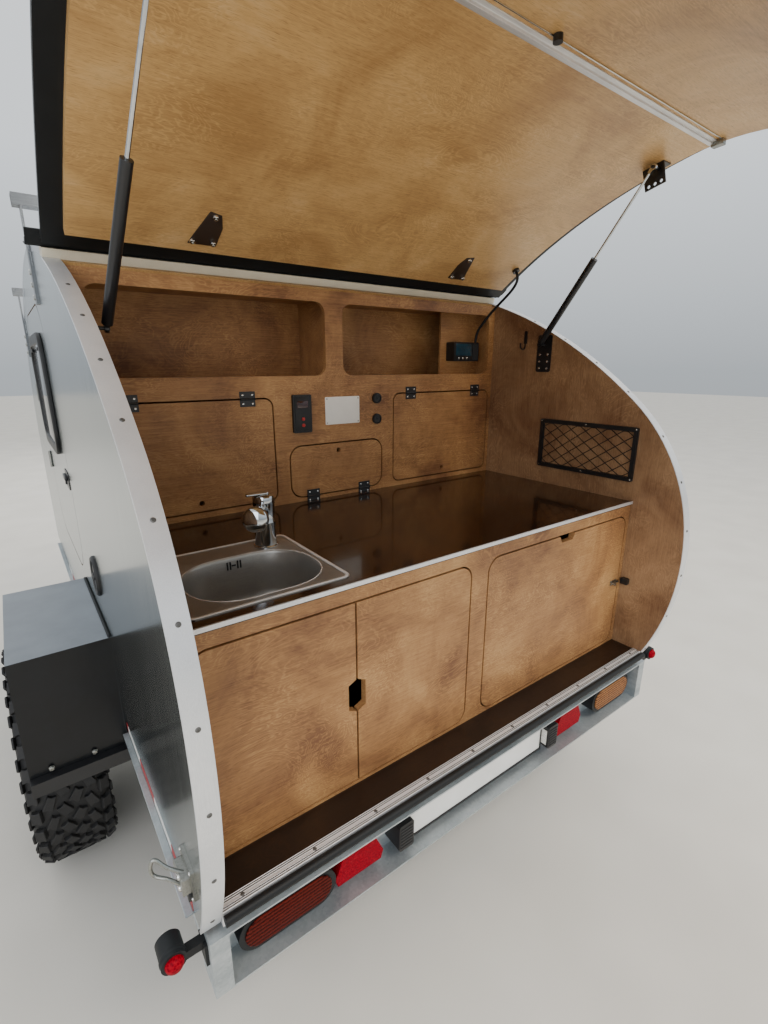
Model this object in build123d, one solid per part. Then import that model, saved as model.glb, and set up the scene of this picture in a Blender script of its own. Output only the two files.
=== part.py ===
from build123d import *
import os
from math import asin, atan2, cos, degrees, hypot, radians, sin, sqrt

os.makedirs("parts", exist_ok=True)

# Teardrop trailer, millimetres. +X right, +Y forward, +Z up, z 0 on the ground.
# Lengths forward are given from BACK, the sill's rear edge, and heights from LEDGE, the galley floor.
BACK = -1612.0
LEDGE = 560.0

# Clearances: round doors and flaps, under a moving piece on its seat, and round a pin
GAP = 5.0
SEAT = 0.3
PIN_FIT = 0.1
EYE_FIT = 0.3

# Body
BODY_HALF = 782.0
WALL = 35.0
INNER_HALF = BODY_HALF - WALL
FLOOR_THICK = 30.0
UNDERSIDE = -FLOOR_THICK
ROOF_PROUD = 20.0
LINING = 15.0

# Side outline from the sill up over the roof and down the nose, as arcs that run into each other.
# A heading of 0 points up, 90 forward and 180 down.
OUTLINE_START = (12.0, UNDERSIDE)
OUTLINE_HEADING = -27.2
# columns: heading at the arc's end, radius
OUTLINE_ARCS = [
    (6.3, 842.0),
    (49.6, 623.0),
    (90.0, 1814.0),
    (122.0, 2100.0),
    (165.0, 720.0),
]
NOSE_FOOT_RADIUS = 1200.0

# Aluminium trims: the wall's edging, the sill's cap and the counter's nosing
TRIM = 2.0
TRIM_LEG = 5.0
SILL = 26.0
SILL_PROUD = 2.0
NOSING = 4.0
NOSING_TALL = 9.5
HEADER_SPAN = 1.6
ROLL_R = 10.0
ROLL_DROP = 7.0

# Hatch
HATCH_OPEN = 52.5
HATCH_CORE_IN = 12.0
HATCH_SIDE_FIT = 9.0
HATCH_CORE_FOOT = 17.0
HATCH_SKIN_FOOT = 9.0
SKIN = 3.0
ROOF_REAR = 809.0
CORE_TO_BULKHEAD = 10.0
KNOB_Y = 73.5
KNOB_R = 9.0
KNOB_TALL = 12.0

# Hatch hinge
HINGE_PIN = 5.0
HINGE_LIFT = 30.0
HINGE_BEHIND = 10.0
HINGE_SHEET = 2.5
HINGE_NECK = 3.0
HINGE_PLATE = 45.0
HINGE_LEAF = 30.0
HINGE_OVER = 30.0

# Gas struts, with the head's place given for the closed hatch. They lean inwards to the head.
STRUT_IN = 32.0
STRUT_LEAN = 60.0
STRUT_FOOT = (511.0, 1042.0)
STRUT_HEAD = (195.0, 863.0)
STRUT_TUBE_R = 11.0
STRUT_ROD_R = 4.0
STRUT_BORE_R = 4.5
STRUT_TUBE_LENGTH = 330.0
STRUT_TUBE_FLOOR = 36.0
STRUT_GRIP = 50.0
STRUT_EYE_R = 9.0
STRUT_EYE_WIDE = 8.0
STRUT_PIN_R = 4.0
STRUT_PLATE = (63.0, 132.0)
# Bracket for each strut's head: a flange on the hatch, and an ear that hangs from it beside the strut.
# EAR_SPAN is half its length, as degrees along the outline
EAR_OUT = 26.0
EAR_SPAN = 0.95
EAR_TALL = 58.0
EAR_SHEET = 4.0
EAR_FLANGE = 40.0
EAR_HOLE_R = 4.5

# Galley
BULKHEAD_FRONT = 766.0
BULKHEAD = 15.0
BULKHEAD_TOP = 1195.0
PLY = 18.0
COUNTER_FRONT = 105.0
COUNTER_TOP = 526.0
COUNTER_PLY = 12.0
CABINET_FRONT = 107.0
CABINET_STILE = 20.0
DIVIDER = 5.0
CARCASS_DEPTH = 220.0
CARCASS_PLY = 9.0
CARCASS_DROP = 12.0
FACE_EDGE = 20.0
SHELF_EDGE = 28.0
# columns: name, x0, x1, z0, z1, corner radius
UPPER_FLAPS = [
    ("upper_flap_left", FACE_EDGE - INNER_HALF, -244.0, COUNTER_TOP + 22.0, 868.0, 25.0),
    ("upper_flap_centre", -189.0, 176.0, COUNTER_TOP + 17.0, 711.0, 40.0),
    ("upper_flap_right", 234.0, INNER_HALF - FACE_EDGE, COUNTER_TOP + 21.0, 868.0, 25.0),
]
SHELVES = [
    ("shelf_left", SHELF_EDGE - INNER_HALF, -46.0, 936.0, 1160.0, 35.0),
    ("shelf_right", 19.0, INNER_HALF - SHELF_EDGE, 936.0, 1160.0, 35.0),
]
LOWER_DOORS = [
    ("lower_door_left", FACE_EDGE - INNER_HALF, -375.5, 12.0, COUNTER_TOP - 49.0, 36.0),
    ("lower_door_centre", -370.5, -19.0, 12.0, COUNTER_TOP - 49.0, 36.0),
    ("lower_flap", 50.0, INNER_HALF - FACE_EDGE, 12.0, COUNTER_TOP - 49.0, 40.0),
]
FINGER_HOLE_R = 8.0
FINGER_HOLE_IN = 24.0
GRIP_HALF_WIDE = 23.0
GRIP_HALF_STRAIGHT = 32.0
GRIP_HALF_TALL = 43.0
GRIP_Z = 245.5
NOTCH_TOP = 77.0
NOTCH_FOOT = 54.0
NOTCH_DEEP = 20.0
NOTCH_X = 395.0
# Columns: flap or door, its hinged edge, the way from it into the gap
HINGE_EDGE = {
    "upper_flap_left": ("top", 1),
    "upper_flap_centre": ("bottom", -1),
    "upper_flap_right": ("top", 1),
    "lower_door_left": ("left", -1),
    "lower_door_centre": ("right", 1),
    "lower_flap": ("bottom", -1),
}
FLAP_HINGE_WIDE = 48.0
FLAP_HINGE_IN = 78.0
FLAP_LEAF_TALL = 20.0
FLAP_LEAF_SHEET = 2.0
HIDDEN_HINGE_WIDE = 45.0
HIDDEN_HINGE_LAP = 14.0
HIDDEN_HINGE_DEEP = 12.0
HIDDEN_HINGE_IN = 80.0

# Sink and tap
SINK_FROM_WALL = 209.0
SINK_Y = 312.0
SINK_SIZE = (356.0, 355.0)
SINK_CORNER = 22.0
BOWL_SIZE = (300.0, 240.0)
BOWL_CORNER = 62.0
BOWL_OFFSET = (8.0, -30.0)
BOWL_DEPTH = 130.0
BOWL_CUT = 6.0
SHEET = 1.5
TAP_OFFSET = (106.0, 120.0)
TAP_R = 22.0
TAP_TALL = 130.0
SPOUT_R = 18.0
SPOUT_END_R = 24.0
SPOUT_LONG = 105.0
SPOUT_END = 28.0
SPOUT_LIFT = 92.0
SPOUT_WAY = (-0.55, -0.83, 0.1)
LEVER_LONG = 78.0
LEVER_WIDE = 24.0
LEVER_THICK = 10.0

# Fittings on the bulkhead and in the right shelf, as x0, x1, z0 and z1
PANEL = (-177.0, -111.0, 758.0, 878.0)
PANEL_PROUD = 10.0
CHARGER = (INNER_HALF - 187.0, INNER_HALF - 47.0, 985.0, 1058.0)
CHARGER_DEEP = 45.0
CHARGER_BOARD = 80.0
CHARGER_BOARD_X = INNER_HALF - 219.0
# columns: x, z
SOCKETS = [(154.0, 857.0), (154.0, 785.0)]
SOCKET_R = 18.0
SOCKET_PROUD = 8.0
# Net pocket on the right wall, as y0, y1, z0 and z1
POCKET = (112.0, 494.0, 592.0, 773.0)
POCKET_FRAME = 14.0
POCKET_PROUD = 9.0
# Coat hook and flap catch on the right wall
HOOK_Y = 601.0
HOOK_TOP = 1095.0
HOOK_PLATE = (14.0, 47.0, 2.5)
HOOK_BEND_R = 12.0
HOOK_BAR = 4.0
CATCH = (74.0, 100.0, 230.0, 252.0)
CATCH_PROUD = 14.0

# Cable from a gland on the hatch to the charger in the right shelf, as it hangs with the hatch open
CABLE_R = 5.0
GLAND_IN = 42.0
GLAND_Y = 655.0
GLAND_R = 13.0
GLAND_TALL = 8.0
CABLE_EXIT = 20.0
# columns: distance from the wall, y, z
CABLE_POINTS = [
    (39.0, 636.0, 1259.0),
    (36.0, 664.0, 1235.0),
    (36.0, 700.0, 1209.0),
    (43.0, 738.0, 1177.0),
    (53.0, 772.0, 1139.0),
    (56.0, 813.0, 1093.0),
]

# Mattress
BED_TALL = 120.0
BED_EDGE = 18.0
BED_IN = 12.0

# Side doors
DOOR_REAR = 1170.0
DOOR_FRONT = 1930.0
DOOR_OVER_FENDER = 25.0
DOOR_HEAD = 1150.0
DOOR_CORNER = 150.0
WINDOW_REAR = 1300.0
WINDOW_FRONT = 1800.0
WINDOW_FOOT = 690.0
WINDOW_HEAD = 1050.0
WINDOW_CORNER = 70.0
WINDOW_LAP = 22.0
WINDOW_THICK = 14.0
DOOR_PIN_OUT = 5.0
DOOR_BARREL = 70.0
DOOR_LEAF = 32.0

# Side latches, as y0, y1, z0 and z1
LATCH = (6.0, 76.0, 56.0, 126.0)
LATCH_LEVER = (14.0, 68.0, 70.0, 112.0)
LATCH_BASE = 6.0
LATCH_TALL = 20.0

# Roof bars
ROOF_BARS = [1130.0, 2080.0]
BAR_WIDE = 40.0
BAR_TALL = 30.0
BAR_RISE = 110.0
BAR_OUT = 24.0
BAR_LEG = 250.0
BAR_FOOT = 100.0
BAR_SHEET = 5.0
BAR_PAD = 2.0

# Running gear
WHEEL_Y = 1030.0
TYRE_R = 350.0
TYRE_WIDE = 200.0
TYRE_FROM_BODY = 63.0
RIM_R = 190.0
SPINDLE_R = 15.0
AXLE_TUBE = 80.0
AXLE_OUT = 15.0
ARM_REACH = 150.0
ARM_THICK = 28.0
ARM_WIDE = 56.0

# Fenders
FENDER_WIDE = 238.0
FENDER_SHEET = 3.0
FENDER_LIFT = 110.0
FENDER_OVER_HUB = 145.0
FENDER_GAP_REAR = 24.0
FENDER_GAP_FRONT = 26.0
FENDER_LEAN_REAR = 43.0
FENDER_LEAN_FRONT = 172.0
FENDER_EDGE = 35.0
FENDER_BAR = 40.0

# Frame and drawbar
RAIL_IN = 7.0
RAIL_WIDE = 50.0
RAIL_TALL = 80.0
RAIL_REAR = 62.0
RAIL_FRONT = 2640.0
CROSS_WIDE = 60.0
CROSS_AT = [640.0, 1240.0, 1950.0, RAIL_FRONT - CROSS_WIDE]
DRAWBAR_TALL = 60.0
DRAWBAR_WIDE = 60.0
DRAWBAR_REAR = 1900.0
DRAWBAR_TIP = 3700.0
DRAWBAR_TIP_X = 45.0
DECK_HALF = 150.0
DECK_LONG = 130.0
DECK_PLATE = 6.0
BALL_R = 25.3
BALL_Y = 3860.0
BALL_DEEP = 26.0
HEAD_DEEP = 50.0

# Rear lamps. The beam is a channel across the rear
BEAM_TOP = -42.0
BEAM_FOOT = -183.0
BEAM_REAR = -8.0
BEAM_WEB = 4.0
BEAM_POST = 36.0
LAMP_REAR = 14.0
LAMP_SIZE = (220.0, 90.0)
LAMP_IN = 168.0
LAMP_Z = -115.0
REFLECTOR_REAR = 22.0
# columns: distance from the reflector's middle, z
REFLECTOR = [(39.5, -74.6), (66.0, -135.0), (59.0, -158.0), (-59.0, -158.0), (-66.0, -135.0), (-39.5, -74.6)]
REFLECTORS_X = [-428.0, 378.0]
PLATE_SIZE = (520.0, 110.0)
PLATE_X = -23.0
PLATE_Z = -105.0
PLATE_REAR = 26.0
PLATE_LAMPS_X = [-308.0, 262.0]
# Marker lamps on stalks beside the rear posts
MARKER_R = 22.5
MARKER_LONG = 46.0
MARKER_OUT = 52.0
MARKER_Z = -40.0
MARKER_STALK = (-76.0, -58.0)
MARKER_FOOT = (-110.0, -60.0)

# Jockey wheel
JOCKEY_Y = 3330.0
JOCKEY_WHEEL_R = 100.0
JOCKEY_WHEEL_WIDE = 54.0
JOCKEY_TRAIL = 45.0
JOCKEY_TUBE_R = 30.0
JOCKEY_LEG_R = 24.9
JOCKEY_FORK_TOP = 231.0
JOCKEY_TUBE_FOOT = 300.0
JOCKEY_TUBE_OVER = 170.0
CLAMP_TALL = 42.0
CRANK_RISE = 70.0
CRANK_LONG = 142.0

# columns: name, side of the centre line
SIDES = [("left", -1), ("right", 1)]

STRUT_X = INNER_HALF - STRUT_IN
STRUT_HEAD_X = STRUT_X - STRUT_LEAN
HATCH_CORE_HALF = INNER_HALF - HATCH_SIDE_FIT
HINGE_HALF = BODY_HALF + HINGE_OVER
RAIL_OUT = BODY_HALF - RAIL_IN
RAIL_TOP = UNDERSIDE
RAIL_FOOT = RAIL_TOP - RAIL_TALL
TYRE_IN = BODY_HALF + TYRE_FROM_BODY
TYRE_OUT = TYRE_IN + TYRE_WIDE
FENDER_IN = BODY_HALF
FENDER_OUT = FENDER_IN + FENDER_WIDE
FENDER_TOP = 2 * TYRE_R - LEDGE + FENDER_LIFT
FENDER_FOOT = TYRE_R - LEDGE + FENDER_OVER_HUB
DOOR_FOOT = FENDER_TOP + DOOR_OVER_FENDER
MIN_ALIGN = (Align.MIN, Align.MIN, Align.MIN)
FOOT_ALIGN = (Align.CENTER, Align.CENTER, Align.MIN)


def save(name, shape):
    export_step(shape, f"parts/{name}.step")


def block(x0, x1, y0, y1, z0, z1):
    """Box between two corners, with y from BACK and z from LEDGE."""
    low = (min(x0, x1), min(y0, y1) + BACK, min(z0, z1) + LEDGE)
    return Pos(*low) * Box(abs(x1 - x0), abs(y1 - y0), abs(z1 - z0), align=MIN_ALIGN)


def upright(x0, x1, z0, z1, y0, y1, corner):
    """Panel that faces the rear, with rounded corners, from y0 forward to y1."""
    middle = ((x0 + x1) / 2, y0 + BACK, (z0 + z1) / 2 + LEDGE)
    place = Plane(origin=middle, x_dir=(-1, 0, 0), z_dir=(0, 1, 0))
    return extrude(place * RectangleRounded(abs(x1 - x0), abs(z1 - z0), corner), y1 - y0)


def side_panel(y0, y1, z0, z1, x0, x1, corner):
    """Panel that faces sideways, with rounded corners, from x0 to x1."""
    middle = (min(x0, x1), (y0 + y1) / 2 + BACK, (z0 + z1) / 2 + LEDGE)
    place = Plane(origin=middle, x_dir=(0, 1, 0), z_dir=(1, 0, 0))
    return extrude(place * RectangleRounded(y1 - y0, z1 - z0, corner), abs(x1 - x0))


def rod_x(x0, x1, y, z, radius):
    """Round bar along X, at a y and z of the part's own frame."""
    return Pos(min(x0, x1), y, z) * Rot(0, 90, 0) * Cylinder(radius, abs(x1 - x0), align=FOOT_ALIGN)


def rod_y(x, z, y0, y1, radius):
    """Round bar along Y, with y from BACK and z from LEDGE."""
    return Pos(x, y0 + BACK, z + LEDGE) * Rot(-90, 0, 0) * Cylinder(radius, y1 - y0, align=FOOT_ALIGN)


def post(x, y, z0, z1, radius):
    """Upright round bar, with y from BACK and z from LEDGE."""
    return Pos(x, y + BACK, z0 + LEDGE) * Cylinder(radius, z1 - z0, align=FOOT_ALIGN)


def profile(points, x0, x1):
    """Straight-sided outline of (y, z) points from BACK and LEDGE, run from x0 to x1."""
    face = make_face(Polyline([(y + BACK, z + LEDGE) for y, z in points], close=True))
    return extrude(Plane.YZ.offset(min(x0, x1)) * face, abs(x1 - x0))


def rear_profile(points, y0, y1):
    """Straight-sided outline of (x, z) points, run from y0 forward to y1."""
    place = Plane(origin=(0, y0 + BACK, LEDGE), x_dir=(-1, 0, 0), z_dir=(0, 1, 0))
    return extrude(place * make_face(Polyline([(-x, z) for x, z in points], close=True)), y1 - y0)


def outline_arcs():
    """Each arc of the side outline as its centre, radius and two headings."""
    arcs = []
    y = OUTLINE_START[0] + BACK
    z = OUTLINE_START[1] + LEDGE
    start = OUTLINE_HEADING
    for end, radius in OUTLINE_ARCS:
        centre = (y + radius * cos(radians(start)), z - radius * sin(radians(start)))
        arcs.append((centre, radius, start, end))
        y = centre[0] - radius * cos(radians(end))
        z = centre[1] + radius * sin(radians(end))
        start = end
    centre = (y + NOSE_FOOT_RADIUS * cos(radians(start)), z - NOSE_FOOT_RADIUS * sin(radians(start)))
    foot = 180.0 - degrees(asin((LEDGE + UNDERSIDE - centre[1]) / NOSE_FOOT_RADIUS))
    arcs.append((centre, NOSE_FOOT_RADIUS, start, foot))
    return arcs


ARCS = outline_arcs()
HEAD_FOOT = ARCS[0][2]
NOSE_FOOT = ARCS[-1][3]


def rim(heading, inset=0.0):
    """Point of the side outline at a heading, moved inwards by inset."""
    for centre, radius, start, end in ARCS:
        if heading <= end + 1e-9:
            break
    angle = radians(heading)
    return (centre[0] - (radius - inset) * cos(angle), centre[1] + (radius - inset) * sin(angle))


def heading_at(value, which, inset, low, high):
    """Heading where the outline's y (which 0, from BACK) or z (which 1, from LEDGE) has this value."""
    target = value + (BACK, LEDGE)[which]
    rising = rim(high, inset)[which] > rim(low, inset)[which]
    for _ in range(60):
        middle = (low + high) / 2
        if (rim(middle, inset)[which] < target) == rising:
            low = middle
        else:
            high = middle
    return (low + high) / 2


def rim_run(a, b, inset):
    """Arcs of the outline from heading a to heading b."""
    edges = []
    for centre, radius, start, end in ARCS:
        first, last = max(a, start), min(b, end)
        if last - first > 1e-6:
            edges.append(ThreePointArc(*(rim(h, inset) for h in (first, (first + last) / 2, last))))
    return edges


def shell(a, b, outer, inner, x0, x1):
    """Curved panel between headings a and b and two insets, run from x0 to x1."""
    edges = rim_run(a, b, outer) + rim_run(a, b, inner)
    edges.append(Line(rim(b, outer), rim(b, inner)))
    edges.append(Line(rim(a, outer), rim(a, inner)))
    return extrude(Plane.YZ.offset(min(x0, x1)) * make_face(edges), abs(x1 - x0))


# Hatch hinge: the pin lies along X, just over the roof's rear edge
ROOF_START = heading_at(ROOF_REAR, 0, 0.0, 20.0, 90.0)
ROOF_EDGE = rim(ROOF_START, -HINGE_LIFT)
TANGENT = (sin(radians(ROOF_START)), cos(radians(ROOF_START)))
HINGE = (ROOF_EDGE[0] + HINGE_BEHIND * TANGENT[0], ROOF_EDGE[1] + HINGE_BEHIND * TANGENT[1])
HINGE_DECK = ROOF_PROUD - HINGE_LIFT
HOOK_R = HINGE_PIN + PIN_FIT + HINGE_SHEET

# Where the hatch's layers start and end
HATCH_END = ROOF_START - 0.35
CORE_START = heading_at(HATCH_CORE_FOOT, 1, HATCH_CORE_IN, HEAD_FOOT, 30.0)
CORE_END = heading_at(BULKHEAD_FRONT - CORE_TO_BULKHEAD, 0, HATCH_CORE_IN, 40.0, 90.0)
SKIN_START = heading_at(HATCH_SKIN_FOOT, 1, -ROOF_PROUD, HEAD_FOOT, 30.0)
GLAND_HEADING = heading_at(GLAND_Y, 0, HATCH_CORE_IN, 40.0, 85.0)
SEAL_IN = -GAP
SEAL_OUT = -ROOF_PROUD + SKIN


def hinge_plane(x):
    """Plane across the hinge: local x runs forward along the roof, local y out of it."""
    return Plane(origin=(x, *HINGE), x_dir=(0, *TANGENT), z_dir=(1, 0, 0))


def opened(shape):
    """The hatch's pieces are laid out closed and swung up to the pose they rest in."""
    return shape.rotate(Axis((0, *HINGE), (-1, 0, 0)), HATCH_OPEN)


def opened_point(y, z):
    """Where a point of the closed hatch, from BACK and LEDGE, lies when it is open."""
    dy, dz = y + BACK - HINGE[0], z + LEDGE - HINGE[1]
    c, s = cos(radians(HATCH_OPEN)), sin(radians(HATCH_OPEN))
    return (HINGE[0] + dy * c + dz * s, HINGE[1] - dy * s + dz * c)


# Body shell
def side_walls():
    foot = Line(rim(HEAD_FOOT, TRIM), rim(NOSE_FOOT, TRIM))
    face = make_face(rim_run(HEAD_FOOT, NOSE_FOOT, TRIM) + [foot])
    for side, s in SIDES:
        x0, x1 = sorted((s * INNER_HALF, s * BODY_HALF))
        wall = extrude(Plane.YZ.offset(x0) * face, WALL)
        wall -= door_shape(GAP, x0 - 1, x1 + 1)
        save(f"side_wall_{side}", wall)


def door_shape(grow, x0, x1):
    """Side door's outline grown by some amount, from x0 to x1."""
    ys = (DOOR_REAR - grow, DOOR_FRONT + grow)
    zs = (DOOR_FOOT - grow, DOOR_HEAD + grow)
    return side_panel(*ys, *zs, x0, x1, DOOR_CORNER + grow)


def window_shape(grow, x0, x1):
    """Door window's outline grown by some amount, from x0 to x1."""
    ys = (WINDOW_REAR - grow, WINDOW_FRONT + grow)
    zs = (WINDOW_FOOT - grow, WINDOW_HEAD + grow)
    return side_panel(*ys, *zs, x0, x1, WINDOW_CORNER + grow)


def side_doors():
    """Each door is cut for its window, and the window's frame laps it on the outside."""
    for side, s in SIDES:
        x0, x1 = sorted((s * INNER_HALF, s * BODY_HALF))
        save(f"door_{side}", door_shape(0.0, x0, x1) - window_shape(0.0, x0 - 1, x1 + 1))
        save(f"door_window_{side}", window_shape(WINDOW_LAP, s * BODY_HALF, s * (BODY_HALF + WINDOW_THICK)))


def door_hinges():
    """Two hinge barrels for each side door, each with its leaf on the wall."""
    pieces = []
    radius = hypot(DOOR_PIN_OUT, GAP / 2) - SEAT
    edge = DOOR_FRONT + GAP
    straight = (DOOR_FOOT + DOOR_CORNER, DOOR_HEAD - DOOR_CORNER)
    quarter = (straight[1] - straight[0]) / 4
    for _, s in SIDES:
        for middle in (straight[0] + quarter, straight[1] - quarter):
            low, high = middle - DOOR_BARREL / 2, middle + DOOR_BARREL / 2
            barrel = post(s * (BODY_HALF + DOOR_PIN_OUT), DOOR_FRONT + GAP / 2, low, high, radius)
            leaf = block(s * BODY_HALF, s * (BODY_HALF + HINGE_SHEET), edge, edge + DOOR_LEAF, low, high)
            pieces.append(barrel + leaf)
    return pieces


def edge_trims():
    """Aluminium angles on the side walls' rear edges, the sill's cap and the counter's nosing."""
    pieces = []
    for _, s in SIDES:
        outside = s * (BODY_HALF + TRIM)
        trim = shell(HEAD_FOOT, ROOF_START, 0.0, TRIM, s * INNER_HALF, outside)
        trim += shell(HEAD_FOOT, ROOF_START, 0.0, TRIM_LEG, s * BODY_HALF, outside)
        pieces.append(trim)
    end = INNER_HALF - 1.0
    pieces.append(block(-end, end, 0, SILL, UNDERSIDE, SILL_PROUD))
    top = COUNTER_TOP + SHEET
    pieces.append(block(-end, end, COUNTER_FRONT - NOSING, COUNTER_FRONT, top - NOSING_TALL, top))
    save("edge_trims", Compound(children=pieces))


def sill_roll():
    """Round rubber seal behind the sill."""
    y = BACK - ROLL_R - SEAT
    end = INNER_HALF - 3.0
    save("sill_roll", rod_x(-end, end, y, LEDGE - ROLL_DROP, ROLL_R))


def roof():
    header = ROOF_START + HEADER_SPAN
    save("roof_panel", shell(header, NOSE_FOOT, -ROOF_PROUD, TRIM, -BODY_HALF, BODY_HALF))
    save("roof_header", shell(ROOF_START, header, -ROOF_PROUD, TRIM, -BODY_HALF, BODY_HALF))
    start = heading_at(BULKHEAD_FRONT + BULKHEAD + 2, 0, TRIM, 40.0, 90.0)
    end = heading_at(8.0, 1, TRIM, 95.0, NOSE_FOOT)
    save("roof_lining", shell(start, end, TRIM, TRIM + LINING, -INNER_HALF, INNER_HALF))


def hinge_rail():
    """Fixed half of the hinge: a pin held by a lip on a plate along the roof's rear edge."""
    sheet = HINGE_SHEET
    plate_x = HINGE_PLATE / 2 + HOOK_R + 1.5
    plate = Pos(plate_x, HINGE_DECK + sheet / 2) * Rectangle(HINGE_PLATE, sheet)
    web_tall = HINGE_NECK / 2 - HINGE_DECK
    web = Pos(HOOK_R + 3.0, HINGE_DECK + web_tall / 2) * Rectangle(3.0, web_tall)
    neck_long = HOOK_R + 4.0 - HINGE_PIN
    neck = Pos(HINGE_PIN - 1.0 + neck_long / 2, 0) * Rectangle(neck_long, HINGE_NECK)
    fixed = hinge_plane(-HINGE_HALF) * (Circle(HINGE_PIN) + neck + web + plate)
    save("roof_hinge_rail", extrude(fixed, 2 * HINGE_HALF))


def floor():
    front = rim(NOSE_FOOT, TRIM)[0] - BACK - 1.0
    save("floor", block(-INNER_HALF, INNER_HALF, SILL, front, UNDERSIDE, 0))


def hatch():
    """Skin outside, core inside, and a rubber band round the core."""
    skin = shell(SKIN_START, HATCH_END, -ROOF_PROUD, SEAL_OUT, -BODY_HALF, BODY_HALF)
    save("hatch_skin", opened(skin))
    core = shell(CORE_START, CORE_END, SEAL_OUT, HATCH_CORE_IN, -HATCH_CORE_HALF, HATCH_CORE_HALF)
    save("hatch_core", opened(core))
    hole = HATCH_CORE_HALF + 0.2
    seal = shell(SKIN_START, HATCH_END, SEAL_OUT, SEAL_IN, -BODY_HALF, BODY_HALF)
    seal -= shell(CORE_START - 0.02, CORE_END + 0.02, SEAL_OUT - 1, SEAL_IN + 1, -hole, hole)
    save("hatch_seal", opened(seal))
    save("hatch_hinge_leaf", opened(hinge_leaf()))
    save("hatch_fittings", opened(hatch_fittings()))


def hinge_leaf():
    """Moving half of the hinge: a hook round the pin, and its leaf on the hatch's skin."""
    sheet = HINGE_SHEET
    inside = HINGE_PIN + PIN_FIT
    hook = Circle(HOOK_R) - Circle(inside)
    # The hook is open in front, so that the fixed lip stays clear of it at both ends of the swing.
    mouth = [(0, 0), (12, -20.8), (30, -20.8), (30, 25), (2.2, 25)]
    hook -= make_face(Polyline(mouth, close=True))
    start = -(HINGE_BEHIND + GAP)
    leaf = Pos(start - HINGE_LEAF / 2, HINGE_DECK + sheet / 2) * Rectangle(HINGE_LEAF, sheet)
    strap_long = -start - inside + 3.0
    strap = Pos(start - 2.0 + strap_long / 2, HINGE_DECK + 1.5 * sheet) * Rectangle(strap_long, sheet)
    return extrude(hinge_plane(-HINGE_HALF) * (hook + leaf + strap), 2 * HINGE_HALF)


def hatch_fittings():
    """Strut brackets on the hatch's inner face, each with its pin, the pull knob and the cable's gland."""
    pieces = []
    y, z = STRUT_HEAD
    heading = heading_at(y, 0, HATCH_CORE_IN, 20.0, 80.0)
    start, end = heading - EAR_SPAN, heading + EAR_SPAN
    deck, foot = HATCH_CORE_IN + EAR_SHEET, HATCH_CORE_IN + EAR_TALL
    inner = STRUT_HEAD_X + EAR_OUT
    outer = inner + EAR_SHEET
    for _, s in SIDES:
        bracket = shell(start, end, HATCH_CORE_IN, deck, s * inner, s * (inner + EAR_FLANGE))
        bracket += shell(start, end, HATCH_CORE_IN, foot, s * inner, s * outer)
        for share in (-0.6, 0.0, 0.6):
            hole = rim(heading + share * EAR_SPAN, foot - 2 * EAR_HOLE_R)
            bracket -= rod_x(s * (inner - 1), s * (outer + 1), *hole, EAR_HOLE_R)
        pin = rod_x(s * (STRUT_HEAD_X - STRUT_EYE_WIDE), s * outer, y + BACK, z + LEDGE, STRUT_PIN_R)
        pieces.append(bracket + pin)
    knob = heading_at(KNOB_Y, 0, HATCH_CORE_IN, 20.0, 60.0)
    pieces.append(inner_stud(knob, 0.0, KNOB_R, KNOB_TALL))
    pieces.append(inner_stud(GLAND_HEADING, INNER_HALF - GLAND_IN, GLAND_R, GLAND_TALL))
    return Compound(children=pieces)


def inner_stud(heading, x, radius, tall):
    """Round stud on the closed hatch's inner face, which is hollow under its flat foot."""
    base = rim(heading, HATCH_CORE_IN + SEAT)
    inward = (cos(radians(heading)), -sin(radians(heading)))
    place = Plane(origin=(x, *base), x_dir=(1, 0, 0), z_dir=(0, *inward))
    return place * Cylinder(radius, tall, align=FOOT_ALIGN)


# Gas struts: the tube turns on the wall's bracket, and the rod slides in it
def strut_axis(s):
    """Foot, head and length of the strut on side s with the hatch open, in the part's frame."""
    foot = Vector(s * STRUT_X, STRUT_FOOT[0] + BACK, STRUT_FOOT[1] + LEDGE)
    head = Vector(s * STRUT_HEAD_X, *opened_point(*STRUT_HEAD))
    return foot, head, (head - foot).length


def struts():
    half_eye = STRUT_EYE_WIDE / 2
    hole = STRUT_PIN_R + EYE_FIT
    neck = STRUT_EYE_R + 3.0
    for side, s in SIDES:
        foot, head, length = strut_axis(s)
        base = Plane(origin=foot, x_dir=(1, 0, 0), z_dir=head - foot)
        tube_long = STRUT_TUBE_LENGTH - neck
        tube = base * Pos(0, 0, neck) * Cylinder(STRUT_TUBE_R, tube_long, align=FOOT_ALIGN)
        bore = Cylinder(STRUT_BORE_R, STRUT_TUBE_LENGTH, align=FOOT_ALIGN)
        tube -= base * Pos(0, 0, STRUT_TUBE_FLOOR) * bore
        tube += rod_x(foot.X - half_eye, foot.X + half_eye, foot.Y, foot.Z, STRUT_EYE_R)
        tube += base * Pos(0, 0, neck - 1) * Box(STRUT_EYE_WIDE, 10, 10)
        save(f"strut_tube_{side}", tube - rod_x(foot.X - 5, foot.X + 5, foot.Y, foot.Z, hole))
        start = STRUT_TUBE_LENGTH - STRUT_GRIP
        rod = base * Pos(0, 0, start) * Cylinder(STRUT_ROD_R, length - neck - start, align=FOOT_ALIGN)
        rod += rod_x(head.X - half_eye, head.X + half_eye, head.Y, head.Z, STRUT_EYE_R)
        rod += base * Pos(0, 0, length - neck) * Box(STRUT_EYE_WIDE, 10, 10)
        save(f"strut_rod_{side}", rod - rod_x(head.X - 5, head.X + 5, head.Y, head.Z, hole))


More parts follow.
